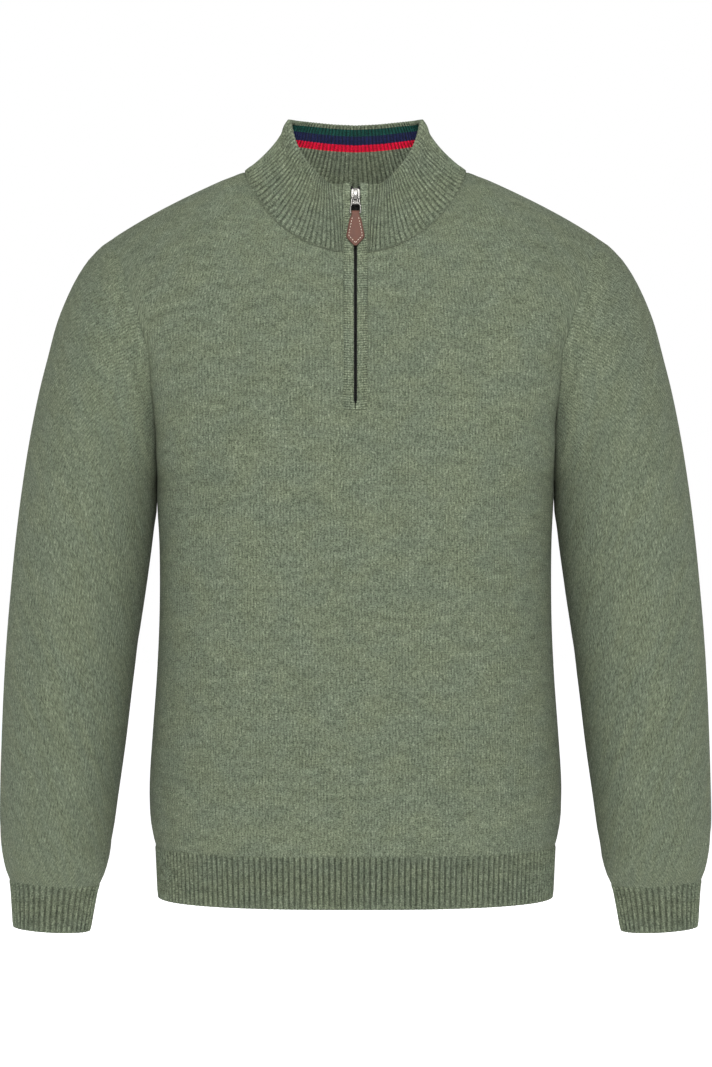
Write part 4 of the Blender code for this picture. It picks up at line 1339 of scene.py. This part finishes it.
def rounded_copy(node_name, name, bevel):
    """A rounded copy of a metal node: welded, its edges bevelled."""
    source = bpy.data.objects[node_name]
    mesh = bmesh.new()
    mesh.from_mesh(source.data)
    bmesh.ops.remove_doubles(mesh, verts=mesh.verts, dist=0.00002)
    bmesh.ops.dissolve_limit(mesh, angle_limit=math.radians(3), verts=mesh.verts, edges=mesh.edges)
    data = bpy.data.meshes.new(name)
    mesh.to_mesh(data)
    mesh.free()
    made = link(bpy.data.objects.new(name, data))
    step = made.modifiers.new("round", "BEVEL")
    step.width = bevel
    step.segments = 3
    step.limit_method = "ANGLE"
    step.angle_limit = math.radians(40)
    made = baked(made)
    made.data.shade_smooth()
    made.data.set_sharp_from_angle(angle=math.radians(50))
    return made


class SWEATER_OT_slider(bpy.types.Operator):
    """Zip slider with its bridge"""
    bl_idname = "sweater.slider"
    bl_label = "Slider"

    def execute(self, context):
        made = rounded_copy("zip_slider", "slider_body", 0.00028)
        settle(made, ["zip_slider"], "nickel_plate")
        return {"FINISHED"}


def hinge(name):
    for joint in frame["record"]["behaviour"]["joints"]:
        if joint["name"] == name:
            return Vector(joint["pos_m"])
    raise ValueError(f"no joint named {name}")


def pull_axes():
    """Directions along and out from the hanging puller."""
    down = (hinge("tab_swing") - hinge("puller_swing")).normalized()
    return down, Vector((0.0, down.z, -down.y))


def wire(name, runs, radius, closed):
    """Round wire through points, all its runs in one piece."""
    made = baked(line_object(name, runs, closed, radius))
    mesh = bmesh.new()
    mesh.from_mesh(made.data)
    bmesh.ops.remove_doubles(mesh, verts=mesh.verts, dist=0.000001)
    bmesh.ops.recalc_face_normals(mesh, faces=mesh.faces)
    mesh.to_mesh(made.data)
    mesh.free()
    made.data.shade_smooth()
    return made


class SWEATER_OT_puller(bpy.types.Operator):
    """Metal frame that hangs on the slider's bridge"""
    bl_idname = "sweater.puller"
    bl_label = "Puller frame"

    def execute(self, context):
        down, _ = pull_axes()
        start = hinge("puller_swing")

        def at(x, fall):
            return start + Vector((x, 0.0, 0.0)) + down * fall

        def rounded(corners, radii):
            points = []
            count = len(corners)
            for number, ((x, fall), radius) in enumerate(zip(corners, radii)):
                here = Vector((x, fall))
                before = Vector(corners[number - 1])
                after = Vector(corners[(number + 1) % count])
                enter = here + (before - here).normalized() * radius
                leave = here + (after - here).normalized() * radius
                for step in range(6):
                    f = step / 5
                    points.append(enter * (1 - f) ** 2 + here * (2 * f * (1 - f)) + leave * f * f)
            return [at(p.x, p.y) for p in points]

        upper = rounded(((-0.0030, 0.0), (0.0030, 0.0), (0.0042, 0.0066), (-0.0042, 0.0066)),
                        (0.0012, 0.0012, 0.0010, 0.0010))
        lower = rounded(((-0.0043, 0.0059), (0.0043, 0.0059), (0.0050, 0.0150), (-0.0050, 0.0150)),
                        (0.0034, 0.0034, 0.0009, 0.0009))
        frame_piece = wire("puller_wire", [upper, lower], WIRE_RADIUS, True)
        settle(frame_piece, ["puller_frame"], "nickel_plate", "puller")
        bar = wire("puller_crossbar", [[at(0.0036 * n / 4, 0.0060) for n in range(-4, 5)]],
                   CROSSBAR_RADIUS, False)
        settle(bar, (), "nickel_plate", "puller")
        return {"FINISHED"}


class SWEATER_OT_tab(bpy.types.Operator):
    """Stitched leather tab folded over the frame's lower bar"""
    bl_idname = "sweater.tab"
    bl_label = "Leather tab"

    def execute(self, context):
        down, out = pull_axes()
        start = hinge("tab_swing")
        made = self.tab_mesh(self.smooth_outline(), start, down, out)
        settle(made, ["leather_tab"], "tab_leather", "tab")
        runs = []
        for side in (1, -1):
            for front in (1, -1):
                line = [start + Vector((side * x, 0.0, 0.0)) + down * fall + out * (front * 0.00148)
                        for x, fall in self.stitch_line()]
                runs.append(line)
        made = stitches("tab_stitching", runs, 0.0026, (0.00050, 0.00040, 0.0016),
                        material("tab_thread"))
        settle(made, (), body="tab")
        return {"FINISHED"}

    @staticmethod
    def smooth_outline():
        last = len(TAB_OUTLINE) - 1
        return [tuple(through(TAB_OUTLINE, place / 4)) for place in range(last * 4 + 1)]

    @staticmethod
    def stitch_line():
        corners = ((0.0032, 0.0058), (0.0064, 0.0212), (0.0060, 0.0228), (0.0007, 0.0284))
        line = []
        for (x0, f0), (x1, f1) in zip(corners, corners[1:]):
            steps = 10
            line += [(x0 + (x1 - x0) * n / steps, f0 + (f1 - f0) * n / steps) for n in range(steps)]
        return line + [corners[-1]]

    @staticmethod
    def tab_mesh(outline, start, down, out):
        """Two leather layers wrapped round the bar: rows run down the tab, points round each row."""
        mesh = bmesh.new()
        edge = mesh.verts.layers.float.new("edge")
        half_wall, lift = 0.0014, 0.0005
        profile = ((0.0, 1.0, 0.0), (0.35, 1.0, 0.0), (0.62, 1.0, 0.0), (0.80, 0.985, 0.05),
                   (0.92, 0.88, 0.55), (1.0, 0.50, 1.0), (1.0, -0.50, 1.0), (0.92, -0.88, 0.55),
                   (0.80, -0.985, 0.05), (0.62, -1.0, 0.0), (0.35, -1.0, 0.0), (0.0, -1.0, 0.0))
        rows = []
        for width, fall in outline:
            swell = lift * max(0.0, 1 - fall / 0.006)
            width = max(width, 0.00002)
            wall = half_wall * min(1.0, 0.55 + width / 0.003) + swell
            side = [(width * f, wall * d, e) for f, d, e in profile]
            ring = side + [(-x, depth, e) for x, depth, e in side[-2:0:-1]]
            verts = []
            for x, depth, mark in ring:
                vert = mesh.verts.new(start + Vector((x, 0.0, 0.0)) + down * fall + out * depth)
                vert[edge] = mark
                verts.append(vert)
            rows.append(verts)
        for upper, lower in zip(rows, rows[1:]):
            for index in range(len(upper)):
                after = (index + 1) % len(upper)
                mesh.faces.new((upper[index], upper[after], lower[after], lower[index]))
        top = rows[0]
        count = len(top)
        steps = 5
        previous = top
        half = half_wall + lift
        for step in range(1, steps + 1):
            angle = math.pi / 2 * step / steps
            ring = []
            for vert in top:
                depth = (vert.co - start).dot(out)
                place = vert.co - out * depth * (1 - math.cos(angle)) - down * (half * math.sin(angle))
                item = mesh.verts.new(place)
                item[edge] = vert[edge]
                ring.append(item)
            for index in range(count):
                after = (index + 1) % count
                mesh.faces.new((ring[index], ring[after], previous[after], previous[index]))
            previous = ring
        bmesh.ops.remove_doubles(mesh, verts=mesh.verts, dist=0.00001)
        loose_edges = [item for item in mesh.edges if item.is_boundary]
        if loose_edges:
            bmesh.ops.holes_fill(mesh, edges=loose_edges, sides=0)
        bmesh.ops.recalc_face_normals(mesh, faces=mesh.faces)
        for face in mesh.faces:
            face.smooth = True
        data = bpy.data.meshes.new("tab_leather_piece")
        mesh.to_mesh(data)
        mesh.free()
        return link(bpy.data.objects.new("tab_leather_piece", data))


# ---------------------------------------------------------------- stage

def aimed(light, place, aim):
    made = link(bpy.data.objects.new(light.name, light))
    made.location = place
    made.rotation_euler = (aim - Vector(place)).to_track_quat("-Z", "Y").to_euler()


class SWEATER_OT_stage(bpy.types.Operator):
    """Floor, soft studio light and the camera"""
    bl_idname = "sweater.stage"
    bl_label = "Stage"

    def execute(self, context):
        self.floor()
        self.world(context.scene)
        chest = Vector((0.0, 0.0, -0.33))
        self.lamp("key", (0.15, -3.3, 1.6), chest, 2.4, 130.0)
        self.spot("neck_fill", (0.0, -2.2, 0.9), Vector((0.0, 0.06, 0.03)), 8.0, 170.0)
        self.lamp("left_fill", (-3.0, -0.7, 0.4), chest, 2.0, 9.0)
        self.lamp("right_fill", (3.0, -0.7, 0.5), chest, 2.0, 9.0)
        self.lamp("top", (0.0, -0.4, 2.6), chest, 2.2, 24.0)
        self.lamp("back_fill", (0.3, 3.4, 1.2), chest, 2.4, 45.0)
        camera = bpy.data.cameras.new("camera")
        camera.sensor_width = 36.0
        camera.lens = 36.0 * 3.0 / 1.035
        made = link(bpy.data.objects.new("camera", camera))
        made.location = (0.0005, -3.0, -0.3526)
        made.rotation_euler = (math.pi / 2, 0.0, 0.0)
        context.scene.camera = made
        context.scene.view_settings.view_transform = "Standard"
        return {"FINISHED"}

    @staticmethod
    def floor():
        mesh = bmesh.new()
        bmesh.ops.create_circle(mesh, cap_ends=True, segments=96, radius=16.0)
        bmesh.ops.translate(mesh, verts=mesh.verts, vec=(0.0, 0.0, -1.15))
        data = bpy.data.meshes.new("floor")
        mesh.to_mesh(data)
        mesh.free()
        floor = link(bpy.data.objects.new("floor", data))
        made, _, shader = blank_material("floor_white", 0.95)
        shader.inputs["Base Color"].default_value = (0.93, 0.93, 0.93, 1.0)
        shader.inputs["Emission Color"].default_value = (1.0, 1.0, 1.0, 1.0)
        shader.inputs["Emission Strength"].default_value = 0.85
        data.materials.append(made)

    @staticmethod
    def world(scene):
        world = bpy.data.worlds.new("studio")
        world.use_nodes = True
        tree = world.node_tree
        tree.nodes.clear()
        soft = node(tree, "ShaderNodeBackground")
        soft.inputs["Color"].default_value = (0.96, 0.98, 1.0, 1.0)
        soft.inputs["Strength"].default_value = 0.25
        seen = node(tree, "ShaderNodeBackground")
        seen.inputs["Color"].default_value = (1.0, 1.0, 1.0, 1.0)
        seen.inputs["Strength"].default_value = 1.0
        path = node(tree, "ShaderNodeLightPath")
        both = node(tree, "ShaderNodeMixShader")
        tree.links.new(path.outputs["Is Camera Ray"], both.inputs["Fac"])
        tree.links.new(soft.outputs[0], both.inputs[1])
        tree.links.new(seen.outputs[0], both.inputs[2])
        out = node(tree, "ShaderNodeOutputWorld")
        tree.links.new(both.outputs[0], out.inputs["Surface"])
        scene.world = world

    @staticmethod
    def spot(name, place, aim, cone, power):
        light = bpy.data.lights.new(name, "SPOT")
        light.spot_size = math.radians(cone)
        light.spot_blend = 1.0
        light.shadow_soft_size = 0.15
        light.energy = power
        aimed(light, place, aim)

    @staticmethod
    def lamp(name, place, aim, size, power):
        light = bpy.data.lights.new(name, "AREA")
        light.shape = "DISK"
        light.size = size
        light.energy = power
        aimed(light, place, aim)


class SWEATER_PT_build(bpy.types.Panel):
    """Lists the sweater's sizes, colours and building steps"""
    bl_idname = "SWEATER_PT_build"
    bl_label = "Sweater"
    bl_space_type = "VIEW_3D"
    bl_region_type = "UI"
    bl_category = "Sweater"

    def draw(self, context):
        for group in (context.scene.sweater_sizes, context.scene.sweater_colours):
            for name in group.bl_rna.properties.keys():
                if name not in ("rna_type", "name"):
                    self.layout.prop(group, name)
        for step in STEPS:
            self.layout.operator(step.bl_idname)


STEPS = (SWEATER_OT_panels, SWEATER_OT_sleeves, SWEATER_OT_ribs, SWEATER_OT_collar, SWEATER_OT_seams,
         SWEATER_OT_bindings, SWEATER_OT_zip, SWEATER_OT_slider, SWEATER_OT_puller, SWEATER_OT_tab,
         SWEATER_OT_stage)
CLASSES = (SweaterSizes, SweaterColours, *STEPS, SWEATER_PT_build)


def register():
    for item in CLASSES:
        bpy.utils.register_class(item)
    bpy.types.Scene.sweater_sizes = bpy.props.PointerProperty(type=SweaterSizes)
    bpy.types.Scene.sweater_colours = bpy.props.PointerProperty(type=SweaterColours)


def unregister():
    del bpy.types.Scene.sweater_colours
    del bpy.types.Scene.sweater_sizes
    for item in reversed(CLASSES):
        bpy.utils.unregister_class(item)


def main():
    register()
    for step in STEPS:
        group, name = step.bl_idname.split(".")
        getattr(getattr(bpy.ops, group), name)()


if __name__ == "__main__":
    main()
